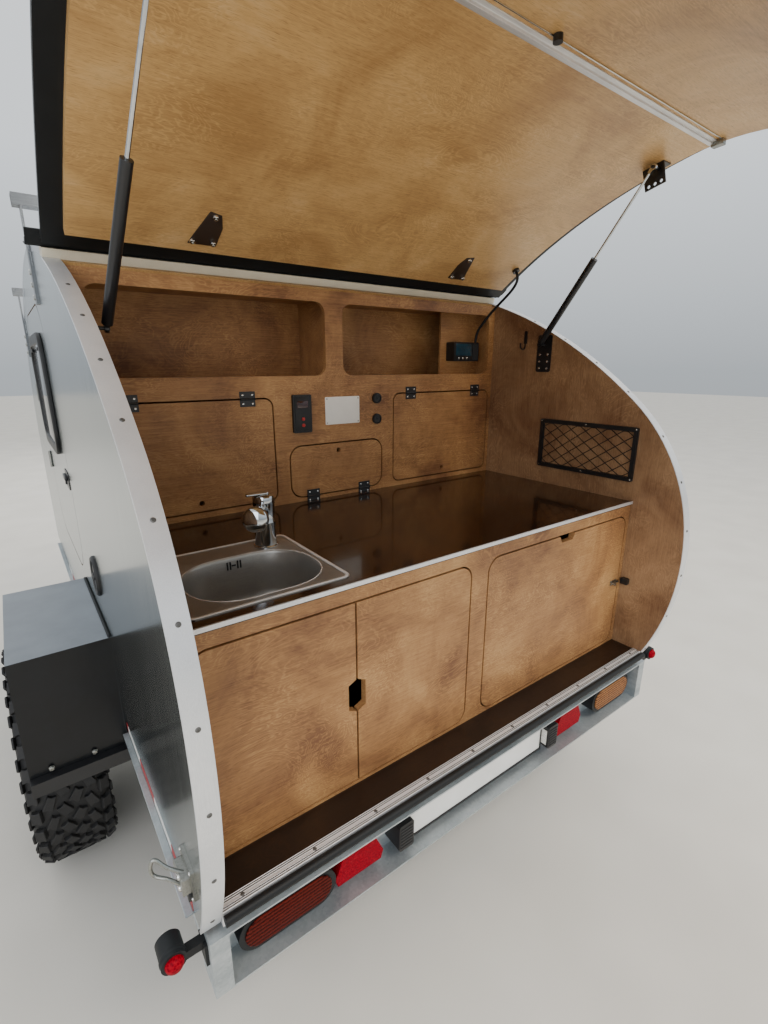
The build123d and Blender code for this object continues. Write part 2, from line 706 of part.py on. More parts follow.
def strut_brackets():
    """Plates on the side walls, each with the pin that a strut's tube turns on."""
    y, z = STRUT_FOOT
    wide, tall = STRUT_PLATE
    pieces = []
    for _, s in SIDES:
        face = s * (INNER_HALF - 3)
        plate = side_panel(y - wide / 2, y + wide / 2, z - tall + 35, z + 35, face, s * INNER_HALF, 8)
        pin = rod_x(s * (STRUT_X - 6), s * (INNER_HALF - 1), y + BACK, z + LEDGE, STRUT_PIN_R)
        pieces.append(plate + pin)
    return pieces


# Galley woodwork
def galley():
    face, back = BULKHEAD_FRONT, BULKHEAD_FRONT + BULKHEAD
    panel = block(-INNER_HALF, INNER_HALF, face, back, 0, BULKHEAD_TOP)
    for _, x0, x1, z0, z1, corner in SHELVES:
        panel -= upright(x0, x1, z0, z1, face - 1, back + 1, corner)
    for name, x0, x1, z0, z1, corner in UPPER_FLAPS:
        around = (x0 - GAP, x1 + GAP, z0 - GAP, z1 + GAP)
        panel -= upright(*around, face - 1, back + 1, corner + GAP)
        hole_z = z1 - FINGER_HOLE_IN if HINGE_EDGE[name][0] == "bottom" else z0 + FINGER_HOLE_IN
        flap = upright(x0, x1, z0, z1, face, back, corner)
        save(name, flap - rod_y((x0 + x1) / 2, hole_z, face - 1, back + 1, FINGER_HOLE_R))
    save("bulkhead", panel)
    carcass()
    cabinet()
    counter()


def carcass():
    """Boxes behind the bulkhead that hold the shelves and the cupboards."""
    rear = BULKHEAD_FRONT + BULKHEAD
    front = rear + CARCASS_DEPTH
    low, high = COUNTER_TOP - CARCASS_PLY, BULKHEAD_TOP - CARCASS_DROP
    t = CARCASS_PLY
    deck = SHELVES[0][3] - 4 - t
    end = INNER_HALF - t
    box = block(-INNER_HALF, INNER_HALF, rear, front, low, high)
    between_shelves = (SHELVES[0][2] + SHELVES[1][1]) / 2
    left = (UPPER_FLAPS[0][2] + UPPER_FLAPS[1][1]) / 2
    right = (UPPER_FLAPS[1][2] + UPPER_FLAPS[2][1]) / 2
    # columns: x0, x1, z0, z1 of each hollow
    hollows = [
        (-end, between_shelves - t, deck + t, high - t),
        (between_shelves + t, end, deck + t, high - t),
        (-end, left - t / 2, low + t, deck),
        (left + t / 2, right - t / 2, low + t, deck),
        (right + t / 2, end, low + t, deck),
    ]
    for x0, x1, z0, z1 in hollows:
        box -= block(x0, x1, rear - 1, front - t, z0, z1)
    board = BULKHEAD_FRONT + CHARGER_BOARD
    box += block(CHARGER_BOARD_X, end, board, board + t, deck + t, high - t)
    save("galley_carcass", box)


def cabinet():
    """Front of the lower cabinet with its divider, a pair of doors and a drop-down flap."""
    rear, front = CABINET_FRONT, CABINET_FRONT + PLY
    face = block(-INNER_HALF, INNER_HALF, rear, front, 0, COUNTER_TOP - COUNTER_PLY)
    _, left, _, z0, z1, corner = LOWER_DOORS[0]
    right = LOWER_DOORS[1][2]
    face -= upright(left - GAP, right + GAP, z0 - GAP, z1 + GAP, rear - 1, front + 1, corner + GAP)
    both = upright(left, right, z0, z1, rear, front, corner)
    seam = (LOWER_DOORS[0][2] + LOWER_DOORS[1][1]) / 2
    wide, straight, tall = GRIP_HALF_WIDE, GRIP_HALF_STRAIGHT, GRIP_HALF_TALL
    grip = [(wide, straight), (0, tall), (-wide, straight), (-wide, -straight), (0, -tall), (wide, -straight)]
    both -= rear_profile([(seam + x, GRIP_Z + z) for x, z in grip], rear - 1, front + 1)
    for name, x0, x1, z0, z1, _ in LOWER_DOORS[:2]:
        save(name, both & block(x0, x1, rear - 1, front + 1, z0 - 1, z1 + 1))
    name, x0, x1, z0, z1, corner = LOWER_DOORS[2]
    face -= upright(x0 - GAP, x1 + GAP, z0 - GAP, z1 + GAP, rear - 1, front + 1, corner + GAP)
    flap = upright(x0, x1, z0, z1, rear, front, corner)
    top, foot = NOTCH_TOP / 2, NOTCH_FOOT / 2
    notch = [(top, z1 + 1), (-top, z1 + 1), (-foot, z1 - NOTCH_DEEP), (foot, z1 - NOTCH_DEEP)]
    save(name, flap - rear_profile([(NOTCH_X + x, z) for x, z in notch], rear - 1, front + 1))
    face += block(DIVIDER, DIVIDER + PLY, front, BULKHEAD_FRONT, 0, COUNTER_TOP - COUNTER_PLY)
    save("cabinet_face", face)


def flap_hinges():
    """Two hinges for each upper flap: a barrel over the gap and a leaf on the bulkhead."""
    pieces = []
    radius = hypot(GAP / 2, GAP / 2) - SEAT
    y = BULKHEAD_FRONT - GAP / 2
    for name, x0, x1, z0, z1, _ in UPPER_FLAPS:
        edge, sign = HINGE_EDGE[name]
        seam = (z1 if edge == "top" else z0) + sign * GAP / 2
        start = seam + sign * GAP / 2
        leaf_back = BULKHEAD_FRONT - FLAP_LEAF_SHEET
        for middle in (x0 + FLAP_HINGE_IN, x1 - FLAP_HINGE_IN):
            a, b = middle - FLAP_HINGE_WIDE / 2, middle + FLAP_HINGE_WIDE / 2
            barrel = rod_x(a, b, y + BACK, seam + LEDGE, radius)
            end = max(start + sign * FLAP_LEAF_TALL, COUNTER_TOP)
            leaf = block(a, b, leaf_back, BULKHEAD_FRONT, seam, end)
            pieces.append(barrel + leaf)
    return pieces


def hidden_hinges():
    """Hinge plates behind the lower doors and flap, fixed to the cabinet's front from the inside."""
    back = CABINET_FRONT + PLY
    pieces = []
    for name, x0, x1, z0, z1, _ in LOWER_DOORS:
        edge, sign = HINGE_EDGE[name]
        across = {"bottom": z0, "left": x0, "right": x1}[edge]
        outer = across + sign * (GAP + HIDDEN_HINGE_LAP)
        inner = across - sign * HIDDEN_HINGE_LAP
        low, high = (x0, x1) if edge == "bottom" else (z0, z1)
        for middle in (low + HIDDEN_HINGE_IN, high - HIDDEN_HINGE_IN):
            a, b = middle - HIDDEN_HINGE_WIDE / 2, middle + HIDDEN_HINGE_WIDE / 2
            along = (a, b) if edge == "bottom" else (outer, inner)
            up = (outer, inner) if edge == "bottom" else (a, b)
            if edge == "bottom":
                up = (max(outer, 0.0), inner)
            arm = block(*along, back, back + HIDDEN_HINGE_DEEP, *up)
            recess = across + sign * GAP
            clear = (recess, inner) if edge != "bottom" else along
            rise = up if edge != "bottom" else (recess, inner)
            pieces.append(arm - block(*clear, back - 1, back + SEAT, *rise))
    return pieces


def counter():
    foot = COUNTER_TOP - COUNTER_PLY
    top = block(-INNER_HALF, INNER_HALF, COUNTER_FRONT, BULKHEAD_FRONT, foot, COUNTER_TOP)
    x = SINK_FROM_WALL - INNER_HALF
    y = SINK_Y + BACK
    deck = COUNTER_TOP + LEDGE
    centre = Pos(x + BOWL_OFFSET[0], y + BOWL_OFFSET[1], deck)
    cut_size = (BOWL_SIZE[0] + 2 * BOWL_CUT, BOWL_SIZE[1] + 2 * BOWL_CUT)
    cut = extrude(RectangleRounded(*cut_size, BOWL_CORNER + BOWL_CUT), -COUNTER_PLY - 1)
    save("counter", top - centre * cut)
    rim_top = Pos(x, y, deck) * extrude(RectangleRounded(*SINK_SIZE, SINK_CORNER), SHEET)
    lift = Pos(0, 0, SHEET)
    bowl = centre * lift * extrude(RectangleRounded(*BOWL_SIZE, BOWL_CORNER), -BOWL_DEPTH)
    inside = (BOWL_SIZE[0] - 2 * SHEET, BOWL_SIZE[1] - 2 * SHEET)
    hollow = centre * lift * extrude(RectangleRounded(*inside, BOWL_CORNER - SHEET), SHEET - BOWL_DEPTH)
    save("sink", rim_top + bowl - hollow)
    foot = Vector(x + TAP_OFFSET[0], y + TAP_OFFSET[1], deck + SHEET)
    tap = Pos(foot) * Cylinder(TAP_R, TAP_TALL, align=FOOT_ALIGN)
    spout = Plane(origin=foot + Vector(0, 0, SPOUT_LIFT), x_dir=(0, 0, 1), z_dir=SPOUT_WAY)
    tap += spout * Cylinder(SPOUT_R, SPOUT_LONG, align=FOOT_ALIGN)
    tap += spout * Pos(0, 0, SPOUT_LONG - SPOUT_END) * Cylinder(SPOUT_END_R, SPOUT_END, align=FOOT_ALIGN)
    lever = Box(LEVER_LONG, LEVER_WIDE, LEVER_THICK, align=(Align.MAX, Align.CENTER, Align.MIN))
    tap += Pos(foot + Vector(TAP_R, 0, TAP_TALL)) * lever
    save("tap", tap)


def fittings():
    """Control panel, sockets and charger, and the net pocket with its frame on the right wall."""
    face = BULKHEAD_FRONT
    board = face + CHARGER_BOARD
    pieces = [upright(*PANEL, face - PANEL_PROUD, face, 4), upright(*CHARGER, board - CHARGER_DEEP, board, 6)]
    for x, z in SOCKETS:
        pieces.append(rod_y(x, z, face - SOCKET_PROUD, face, SOCKET_R))
    y0, y1, z0, z1 = POCKET
    t = POCKET_FRAME
    wall = INNER_HALF
    inside = (y0 + t, y1 - t, z0 + t, z1 - t)
    frame = side_panel(*POCKET, wall - POCKET_PROUD, wall, 6)
    pieces.append(frame - side_panel(*inside, wall - POCKET_PROUD - 1, wall + 1, 4))
    save("galley_controls", Compound(children=pieces))
    net = (inside[0] + 0.5, inside[1] - 0.5, inside[2] + 0.5, inside[3] - 0.5)
    save("pocket_net", side_panel(*net, wall - POCKET_PROUD + 1, wall - 2, 3.5))


def wall_fittings():
    """Coat hook and flap catch on the right wall."""
    wide, tall, sheet = HOOK_PLATE
    wall = INNER_HALF
    foot = HOOK_TOP - tall
    plate = side_panel(HOOK_Y - wide / 2, HOOK_Y + wide / 2, foot, HOOK_TOP, wall - sheet, wall, 4)
    half = HOOK_BAR / 2
    stem = block(wall - HOOK_BAR, wall, HOOK_Y - half, HOOK_Y + half, foot - 6, foot + 4)
    centre = (wall - HOOK_BEND_R - HOOK_BAR, foot - 6)
    ring = Pos(centre[0], HOOK_Y + BACK, centre[1] + LEDGE) * Rot(90, 0, 0)
    bend = ring * (Cylinder(HOOK_BEND_R + HOOK_BAR, HOOK_BAR) - Cylinder(HOOK_BEND_R, HOOK_BAR))
    reach = HOOK_BEND_R + HOOK_BAR + 1
    bend -= block(centre[0] - reach, centre[0] + reach, HOOK_Y - 4, HOOK_Y + 4, centre[1], centre[1] + reach)
    tip = centre[0] - HOOK_BEND_R
    hook = plate + stem + bend
    hook += block(tip - HOOK_BAR, tip, HOOK_Y - half, HOOK_Y + half, centre[1], centre[1] + 9)
    y0, y1, z0, z1 = CATCH
    catch = side_panel(y0, y1, z0, z1, wall - CATCH_PROUD, wall, 3)
    return [hook, catch]


def galley_hardware():
    pieces = flap_hinges() + hidden_hinges() + strut_brackets() + wall_fittings()
    save("galley_hardware", Compound(children=pieces))


def hatch_cable():
    """Cable from the open hatch's gland down to the top of the charger."""
    points = []
    mouth = SEAT + GLAND_TALL + SEAT
    for along in (mouth, mouth + CABLE_EXIT):
        y, z = rim(GLAND_HEADING, HATCH_CORE_IN + along)
        points.append(Vector(INNER_HALF - GLAND_IN, *opened_point(y - BACK, z - LEDGE)))
    for inward, y, z in CABLE_POINTS:
        points.append(Vector(INNER_HALF - inward, y + BACK, z + LEDGE))
    points.append(Vector(points[-1].X, points[-1].Y, CHARGER[3] + LEDGE))
    runs = [b - a for a, b in zip(points, points[1:])]
    radii = []
    for before, after in zip(runs, runs[1:]):
        turn = radians(before.get_angle(after))
        shorter = min(before.length, after.length)
        radii.append(0.45 * shorter * cos(turn / 2) / sin(turn / 2))
    path = FilletPolyline(*points, radius=radii)
    section = Plane(origin=points[0], z_dir=runs[0]) * Circle(CABLE_R)
    tube = sweep(section, path)
    print("cable radii", [round(r) for r in radii], "length", round(path.length, 1))
    print("cable volume", round(tube.volume), "section times length", round(section.area * path.length))
    save("hatch_cable", tube)


def mattress():
    front = rim(heading_at(100.0, 1, TRIM, 95.0, NOSE_FOOT), TRIM + LINING + BED_IN)[0] - BACK
    half = INNER_HALF - BED_IN
    rear = BULKHEAD_FRONT + BULKHEAD + BED_IN
    bed = block(-half, half, rear, front - BED_IN, SEAT, SEAT + BED_TALL)
    save("mattress", fillet(bed.edges(), BED_EDGE))


# Frame, drawbar and rear lamps
def chassis():
    inside = RAIL_OUT - RAIL_WIDE
    frame = block(-inside, -RAIL_OUT, RAIL_REAR, RAIL_FRONT, RAIL_FOOT, RAIL_TOP)
    frame += block(inside, RAIL_OUT, RAIL_REAR, RAIL_FRONT, RAIL_FOOT, RAIL_TOP)
    for y in CROSS_AT:
        frame += block(-inside, inside, y, y + CROSS_WIDE, RAIL_FOOT, RAIL_TOP)
    save("chassis_frame", frame)
    arms = Part()
    for _, s in SIDES:
        rear = (s * (inside - 40), DRAWBAR_REAR)
        tip = (s * DRAWBAR_TIP_X, DRAWBAR_TIP)
        length = hypot(tip[0] - rear[0], tip[1] - rear[1])
        angle = degrees(atan2(tip[1] - rear[1], tip[0] - rear[0]))
        beam = Box(length, DRAWBAR_WIDE, DRAWBAR_TALL, align=(Align.MIN, Align.CENTER, Align.MAX))
        arms += Pos(rear[0], rear[1] + BACK, RAIL_FOOT + LEDGE) * Rot(0, 0, angle) * beam
    half = DECK_LONG / 2
    plate = (RAIL_FOOT, RAIL_FOOT + DECK_PLATE)
    deck = block(-DECK_HALF, DECK_HALF, JOCKEY_Y - half, JOCKEY_Y + half, *plate)
    deck -= post(0, JOCKEY_Y, RAIL_FOOT - 1, RAIL_FOOT + DECK_PLATE + 1, JOCKEY_TUBE_R + SEAT)
    save("drawbar", arms + deck)


def lamp_beam():
    """Galvanised channel across the rear, open to the rear, with a post at each end."""
    top, foot, t = BEAM_TOP, BEAM_FOOT, BEAM_WEB
    beam = block(-RAIL_OUT, RAIL_OUT, BEAM_REAR, RAIL_REAR, foot, top)
    beam -= block(-RAIL_OUT - 1, RAIL_OUT + 1, BEAM_REAR - 1, RAIL_REAR - t, foot + t, top - t)
    for _, s in SIDES:
        beam += block(s * (RAIL_OUT - BEAM_POST), s * RAIL_OUT, BEAM_REAR, RAIL_REAR, foot, top)
    save("lamp_beam", beam)


def rear_lamps():
    """Oval lamps, six-sided reflectors, the number plate and its holder with a lamp at each end."""
    web = RAIL_REAR - BEAM_WEB
    wide, tall = LAMP_SIZE
    low, high = LAMP_Z - tall / 2, LAMP_Z + tall / 2
    lamps = []
    for _, s in SIDES:
        x = s * (RAIL_OUT - LAMP_IN)
        lamps.append(upright(x - wide / 2, x + wide / 2, low, high, LAMP_REAR, web, tall / 2 - 1))
    save("rear_lamps", Compound(children=lamps))
    outlines = [[(x + dx, z) for dx, z in REFLECTOR] for x in REFLECTORS_X]
    save("reflectors", Compound(children=[rear_profile(o, REFLECTOR_REAR, web) for o in outlines]))
    left, right = PLATE_X - PLATE_SIZE[0] / 2, PLATE_X + PLATE_SIZE[0] / 2
    plate_foot, plate_top = PLATE_Z - PLATE_SIZE[1] / 2, PLATE_Z + PLATE_SIZE[1] / 2
    back = PLATE_REAR + 3
    save("number_plate", upright(left, right, plate_foot, plate_top, PLATE_REAR, back, 6))
    holder = upright(left - 2, right + 2, plate_foot - 5, plate_top + 3, back, back + 7, 4)
    black = [holder + block(left + 60, right - 60, back + 7, web, PLATE_Z - 15, PLATE_Z + 15)]
    for x in PLATE_LAMPS_X:
        black.append(upright(x - 22, x + 22, -150, -75, 0, web, 6))
    save("lamp_holders", Compound(children=black))


def marker_lamps():
    """Round lamps on rubber stalks beside the rear posts."""
    pieces = []
    x = BODY_HALF + MARKER_OUT
    for _, s in SIDES:
        stalk = block(s * RAIL_OUT, s * (x + 10), 18, 36, *MARKER_STALK)
        foot = block(s * RAIL_OUT, s * (RAIL_OUT + 6), 8, 46, *MARKER_FOOT)
        pieces.append(stalk + foot + rod_y(s * x, MARKER_Z, 0, MARKER_LONG, MARKER_R))
    save("marker_lamps", Compound(children=pieces))


def side_hardware():
    """Toggle latches beside the hatch, and the side doors' hinges."""
    pieces = door_hinges()
    face = BODY_HALF
    for _, s in SIDES:
        base = side_panel(*LATCH, s * face, s * (face + LATCH_BASE), 5)
        pieces.append(base + side_panel(*LATCH_LEVER, s * (face + LATCH_BASE), s * (face + LATCH_TALL), 6))
    save("side_hardware", Compound(children=pieces))


# Fenders, axle and wheels
def fender_outline(inset):
    """Fender's outline seen from the side, moved inwards by inset, with the foot left where it is.

    The foot clears the tyre where it is widest beside the fender's bars."""
    tyre = sqrt(TYRE_R**2 - (FENDER_OVER_HUB - FENDER_BAR) ** 2)
    rear, front = WHEEL_Y - tyre - FENDER_GAP_REAR, WHEEL_Y + tyre + FENDER_GAP_FRONT
    lean = FENDER_FOOT - 1.0 if inset else FENDER_FOOT
    top = FENDER_TOP - inset
    return [
        (rear + 1.1 * inset, lean),
        (rear + FENDER_LEAN_REAR + 0.9 * inset, top),
        (front - FENDER_LEAN_FRONT - 0.6 * inset, top),
        (front - 1.1 * inset, lean),
    ]


def fenders():
    sheets = []
    bars = []
    skirt = (FENDER_OUT - FENDER_SHEET, FENDER_OUT)
    outer = fender_outline(0.0)
    for _, s in SIDES:
        sheet = profile(outer, s * FENDER_IN, s * FENDER_OUT)
        sheet -= profile(fender_outline(FENDER_SHEET), s * (FENDER_IN - 1), s * skirt[0])
        sheet -= profile(fender_outline(FENDER_EDGE), s * (skirt[0] - 1), s * (skirt[1] + 1))
        sheets.append(sheet)
        for y in (outer[0][0] - 27.0, outer[3][0] - 20.0):
            low = FENDER_FOOT - FENDER_BAR
            bars.append(block(s * RAIL_OUT, s * FENDER_OUT, y, y + FENDER_BAR, low, FENDER_FOOT))
    save("fenders", Compound(children=sheets))
    save("fender_bars", Compound(children=bars))


def axle():
    """Square tube under the rails, with an arm back to each stub axle."""
    z = RAIL_FOOT + LEDGE - AXLE_TUBE / 2
    y = WHEEL_Y + ARM_REACH + BACK
    hub = (WHEEL_Y + BACK, TYRE_R)
    end = BODY_HALF + AXLE_OUT
    tube = Pos(0, y, z) * Box(2 * end, AXLE_TUBE, AXLE_TUBE)
    length = hypot(y - hub[0], z - hub[1])
    along = (0, y - hub[0], z - hub[1])
    for _, s in SIDES:
        x = s * (end + ARM_THICK / 2)
        place = Plane(origin=(x, (y + hub[0]) / 2, (z + hub[1]) / 2), x_dir=along, z_dir=(1, 0, 0))
        tube += extrude(place * SlotCenterToCenter(length, ARM_WIDE), ARM_THICK / 2, both=True)
        tube += rod_x(x, s * (TYRE_IN + 0.6 * TYRE_WIDE), *hub, SPINDLE_R)
    save("axle", tube)


def turned(points, place):
    """Solid turned about the wheel's axle from (radius, distance) points."""
    face = make_face(Polyline([(r, 0, d) for r, d in points], close=True))
    return place * revolve(face, Axis.Z)


def wheels():
    width = TYRE_WIDE
    bore = SPINDLE_R + PIN_FIT
    well, t = RIM_R - 18, 5.0
    # columns: radius, distance from the inner face
    tyre = [
        (RIM_R + 0.3, 17.5),
        (RIM_R + 15.5, 15.0),
        (RIM_R + 22.0, 8.0),
        (RIM_R + 70.0, 0.0),
        (TYRE_R - 32.0, 6.0),
        (TYRE_R - 6.0, 26.0),
        (TYRE_R, 60.0),
    ]
    outline = tyre + [(r, width - d) for r, d in reversed(tyre)]
    lip = RIM_R + 14
    barrel = [(lip, 8), (lip, 14), (RIM_R, 17), (RIM_R, 60), (well, 70), (well, 110), (RIM_R, 120)]
    barrel += [(RIM_R, width - 17), (lip, width - 14), (lip, width - 8), (RIM_R - t, width - 14)]
    disc = [(RIM_R - t, 123), (RIM_R - 40, 122), (85, 140), (46, 128), (46, 135), (20, 135), (20, 126)]
    hub = [(bore, 122), (bore, 6), (60, 6), (60, 14), (45, 20), (45, 116)]
    inner = [(85, 128), (RIM_R - 42, 112), (well - t, 112), (well - t, 68), (RIM_R - t, 58), (RIM_R - t, 14)]
    for side, s in SIDES:
        place = Plane(origin=(s * TYRE_IN, WHEEL_Y + BACK, TYRE_R), x_dir=(0, 1, 0), z_dir=(s, 0, 0))
        save(f"tyre_{side}", turned(outline, place))
        save(f"wheel_{side}", turned(barrel + disc + hub + inner, place))


# Coupling and jockey wheel
def coupling():
    deck = RAIL_FOOT
    body = block(-32, 32, DRAWBAR_TIP + 30, BALL_Y + 45, deck - HEAD_DEEP, deck + 6)
    body = fillet(body.edges().filter_by(Axis.Z), 14)
    body += block(-80, 80, DRAWBAR_TIP - 130, DRAWBAR_TIP + 60, deck, deck + 6)
    body -= post(0, BALL_Y, deck - HEAD_DEEP, deck - HEAD_DEEP + BALL_DEEP, BALL_R)
    body -= Pos(0, BALL_Y + BACK, deck - HEAD_DEEP + BALL_DEEP + LEDGE) * Sphere(BALL_R)
    save("coupling_head", body + block(-12, 12, BALL_Y - 110, BALL_Y + 40, deck + 6, deck + 30))


def jockey():
    deck = RAIL_FOOT + DECK_PLATE
    foot = JOCKEY_TUBE_FOOT - LEDGE
    top = deck + JOCKEY_TUBE_OVER
    lug = JOCKEY_TUBE_R + 34
    tube = post(0, JOCKEY_Y, foot, top, JOCKEY_TUBE_R)
    tube += post(0, JOCKEY_Y, deck, deck + CLAMP_TALL, JOCKEY_TUBE_R + 14)
    tube += block(JOCKEY_TUBE_R, lug, JOCKEY_Y - 9, JOCKEY_Y + 9, deck, deck + CLAMP_TALL)
    tube -= post(0, JOCKEY_Y, foot - 1, top - 20, JOCKEY_LEG_R + PIN_FIT)
    crank = top + CRANK_RISE
    tube += post(0, JOCKEY_Y, top, crank, 8)
    tube += block(-8, 8, JOCKEY_Y - 8, JOCKEY_Y + CRANK_LONG, crank - 6, crank + 6)
    save("jockey_tube", tube + post(0, JOCKEY_Y + CRANK_LONG - 8, crank + 6, crank + 76, 11))
    y = JOCKEY_Y + BACK - JOCKEY_TRAIL
    half = JOCKEY_WHEEL_WIDE / 2
    cheek_in, cheek_out = half + 8, half + 14
    top = JOCKEY_FORK_TOP - LEDGE
    leg = post(0, JOCKEY_Y, top - 1, deck + 60, JOCKEY_LEG_R)
    fork = (JOCKEY_Y - JOCKEY_TRAIL / 2 - 48, JOCKEY_Y + 26)
    leg += block(-cheek_out - 2, cheek_out + 2, *fork, top - 12, top)
    for s in (-1, 1):
        cheek = (JOCKEY_Y - JOCKEY_TRAIL - 25, JOCKEY_Y - JOCKEY_TRAIL + 25)
        leg += block(s * cheek_in, s * cheek_out, *cheek, top - 156, top - 6)
    leg += rod_x(-cheek_in, cheek_in, y, JOCKEY_WHEEL_R, 8)
    save("jockey_leg", leg)
    wheel = rod_x(-half, half, y, JOCKEY_WHEEL_R, JOCKEY_WHEEL_R)
    save("jockey_wheel", wheel - rod_x(-half - 1, half + 1, y, JOCKEY_WHEEL_R, 8 + PIN_FIT))


# Roof bars
def roof_bar_top(y):
    """Height of a bar's top above LEDGE, for a bar at y."""
    return rim(heading_at(y, 0, 0.0, 40.0, 150.0))[1] - LEDGE + BAR_RISE + BAR_TALL


def roof_bars():
    bars = []
    half = BODY_HALF + BAR_OUT
    face = BODY_HALF + BAR_PAD
    for y in ROOF_BARS:
        foot = roof_bar_top(y) - BAR_TALL
        ys = (y - BAR_WIDE / 2, y + BAR_WIDE / 2)
        bar = block(-half, half, *ys, foot, foot + BAR_TALL)
        for _, s in SIDES:
            bar += block(s * face, s * (face + BAR_SHEET), *ys, foot - BAR_LEG, foot)
            bar += block(s * BODY_HALF, s * face, *ys, foot - BAR_LEG, foot - BAR_LEG + BAR_FOOT)
        bars.append(bar)
    save("roof_bars", Compound(children=bars))


side_walls()
side_doors()
edge_trims()
sill_roll()
roof()
hinge_rail()
floor()
hatch()
struts()
galley()
fittings()
galley_hardware()
hatch_cable()
mattress()
chassis()
lamp_beam()
rear_lamps()
marker_lamps()
side_hardware()
fenders()
axle()
wheels()
coupling()
jockey()
roof_bars()
print("hinge", HINGE, "nose foot", rim(NOSE_FOOT), "strut", strut_axis(1))
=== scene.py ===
import math

import bmesh
import bpy
from mathutils import Matrix, Vector


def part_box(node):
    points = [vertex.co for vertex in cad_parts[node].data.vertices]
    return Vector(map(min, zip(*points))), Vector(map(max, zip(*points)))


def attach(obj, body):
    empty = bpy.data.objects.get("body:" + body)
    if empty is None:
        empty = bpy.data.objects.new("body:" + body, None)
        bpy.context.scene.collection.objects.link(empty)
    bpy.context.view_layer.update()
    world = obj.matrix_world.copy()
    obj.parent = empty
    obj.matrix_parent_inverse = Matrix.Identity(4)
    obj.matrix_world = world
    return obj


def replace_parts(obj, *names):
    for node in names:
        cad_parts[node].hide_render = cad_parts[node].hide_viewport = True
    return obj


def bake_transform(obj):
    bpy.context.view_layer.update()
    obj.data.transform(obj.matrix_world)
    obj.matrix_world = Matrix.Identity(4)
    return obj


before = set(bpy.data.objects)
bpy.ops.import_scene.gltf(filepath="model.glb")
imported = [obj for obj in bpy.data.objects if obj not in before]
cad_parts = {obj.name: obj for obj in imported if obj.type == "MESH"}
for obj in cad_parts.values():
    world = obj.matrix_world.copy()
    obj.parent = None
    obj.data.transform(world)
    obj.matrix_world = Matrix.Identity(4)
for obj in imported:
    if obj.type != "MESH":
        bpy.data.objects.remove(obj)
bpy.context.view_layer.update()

# Teardrop camping trailer. Lengths below are millimetres: x to the right, y forward from the
# sill's rear edge, z up from the galley floor. spot() turns them into metres in the frame.
# Only HINGE, the hatch's hinge at rest, is already in the frame's metres.
BACK = -1612.0
LEDGE = 560.0
BODY_HALF = 782.0
INNER_HALF = 747.0
SHEET_FACE = 780.3
CORE_IN = 12.0
HATCH_OPEN = 52.5
HINGE = Vector((0.0, -0.8017674, 1.8054783))
COUNTER_TOP = 526.0
BULKHEAD_FRONT = 766.0
WHEEL_Y = 1030.0
TYRE_R = 350.0
TYRE_IN = 845.0
TYRE_WIDE = 200.0

# Side outline of the body: start, first heading, then each arc's last heading and radius
OUTLINE_START = (12.0, -30.0)
OUTLINE_HEADING = -27.2
OUTLINE_ARCS = [(6.3, 842.0), (49.6, 623.0), (90.0, 1814.0), (122.0, 2100.0), (165.0, 720.0)]
ROOF_START = 73.8

# columns: name, side of the centre line
SIDES = [("left", -1), ("right", 1)]


def spot(x, y, z):
    """Point of the frame, in metres, from millimetres measured at the sill."""
    return Vector((x, y + BACK, z + LEDGE)) / 1000


def rim(heading, inset=0.0):
    """y and z of the body's side outline where it runs at a heading, moved inwards by inset."""
    y, z = OUTLINE_START
    start = OUTLINE_HEADING
    for end, radius in OUTLINE_ARCS:
        cy = y + radius * math.cos(math.radians(start))
        cz = z - radius * math.sin(math.radians(start))
        if heading <= end:
            break
        y = cy - radius * math.cos(math.radians(end))
        z = cz + radius * math.sin(math.radians(end))
        start = end
    turn = math.radians(heading)
    return cy - (radius - inset) * math.cos(turn), cz + (radius - inset) * math.sin(turn)


# Camera, where the photograph was taken from
bpy.ops.object.select_all(action="DESELECT")
bpy.ops.object.camera_add(location=(-0.91068, -0.72202 + BACK / 1000, 1.52914))
camera = bpy.context.object
camera.name = "camera"
camera.rotation_euler = (
    Matrix.Rotation(math.radians(-36.468), 3, "Z")
    @ Matrix.Rotation(math.radians(90 - 16.270), 3, "X")
    @ Matrix.Rotation(math.radians(0.057), 3, "Z")
).to_euler()
camera.data.sensor_fit = "VERTICAL"
camera.data.sensor_height = 36.0
camera.data.lens = 17.69
camera.data.clip_end = 100.0
bpy.context.scene.camera = camera


# Materials
def colour(code):
    """sRGB hex value as the linear colour that the shader takes."""
    parts = [int(code[i:i + 2], 16) / 255 for i in (1, 3, 5)]
    linear = [c / 12.92 if c <= 0.04045 else ((c + 0.055) / 1.055) ** 2.4 for c in parts]
    return (*linear, 1.0)


def add(tree, kind, sockets=None, out=0, stops=None, **settings):
    """Adds a node with its settings and links, and gives one output. stops fill a colour ramp."""
    made = tree.nodes.new("ShaderNode" + kind)
    for name, value in settings.items():
        setattr(made, name, value)
    for key, value in (sockets or {}).items():
        if isinstance(value, bpy.types.NodeSocket):
            tree.links.new(value, made.inputs[key])
        else:
            made.inputs[key].default_value = value
    if stops:
        band = made.color_ramp
        while len(band.elements) < len(stops):
            band.elements.new(0.5)
        for element, (position, code) in zip(band.elements, stops):
            element.position = position
            element.color = colour(code)
    return made.outputs[out]


def start(name, surface=None):
    """New material with its shader's constants set, its node tree and its Object coordinates."""
    material = bpy.data.materials.new(name)
    material.use_nodes = True
    tree = material.node_tree
    shader = tree.nodes["Principled BSDF"]
    for key, value in (surface or {}).items():
        shader.inputs[key].default_value = value
    return material, tree, add(tree, "TexCoord", out="Object")


def linked(material, base, rough, relief):
    """Links a colour, a roughness and a bump to the material's shader, and gives the material."""
    tree = material.node_tree
    for socket, output in (("Base Color", base), ("Roughness", rough), ("Normal", relief)):
        tree.links.new(output, tree.nodes["Principled BSDF"].inputs[socket])
    return material


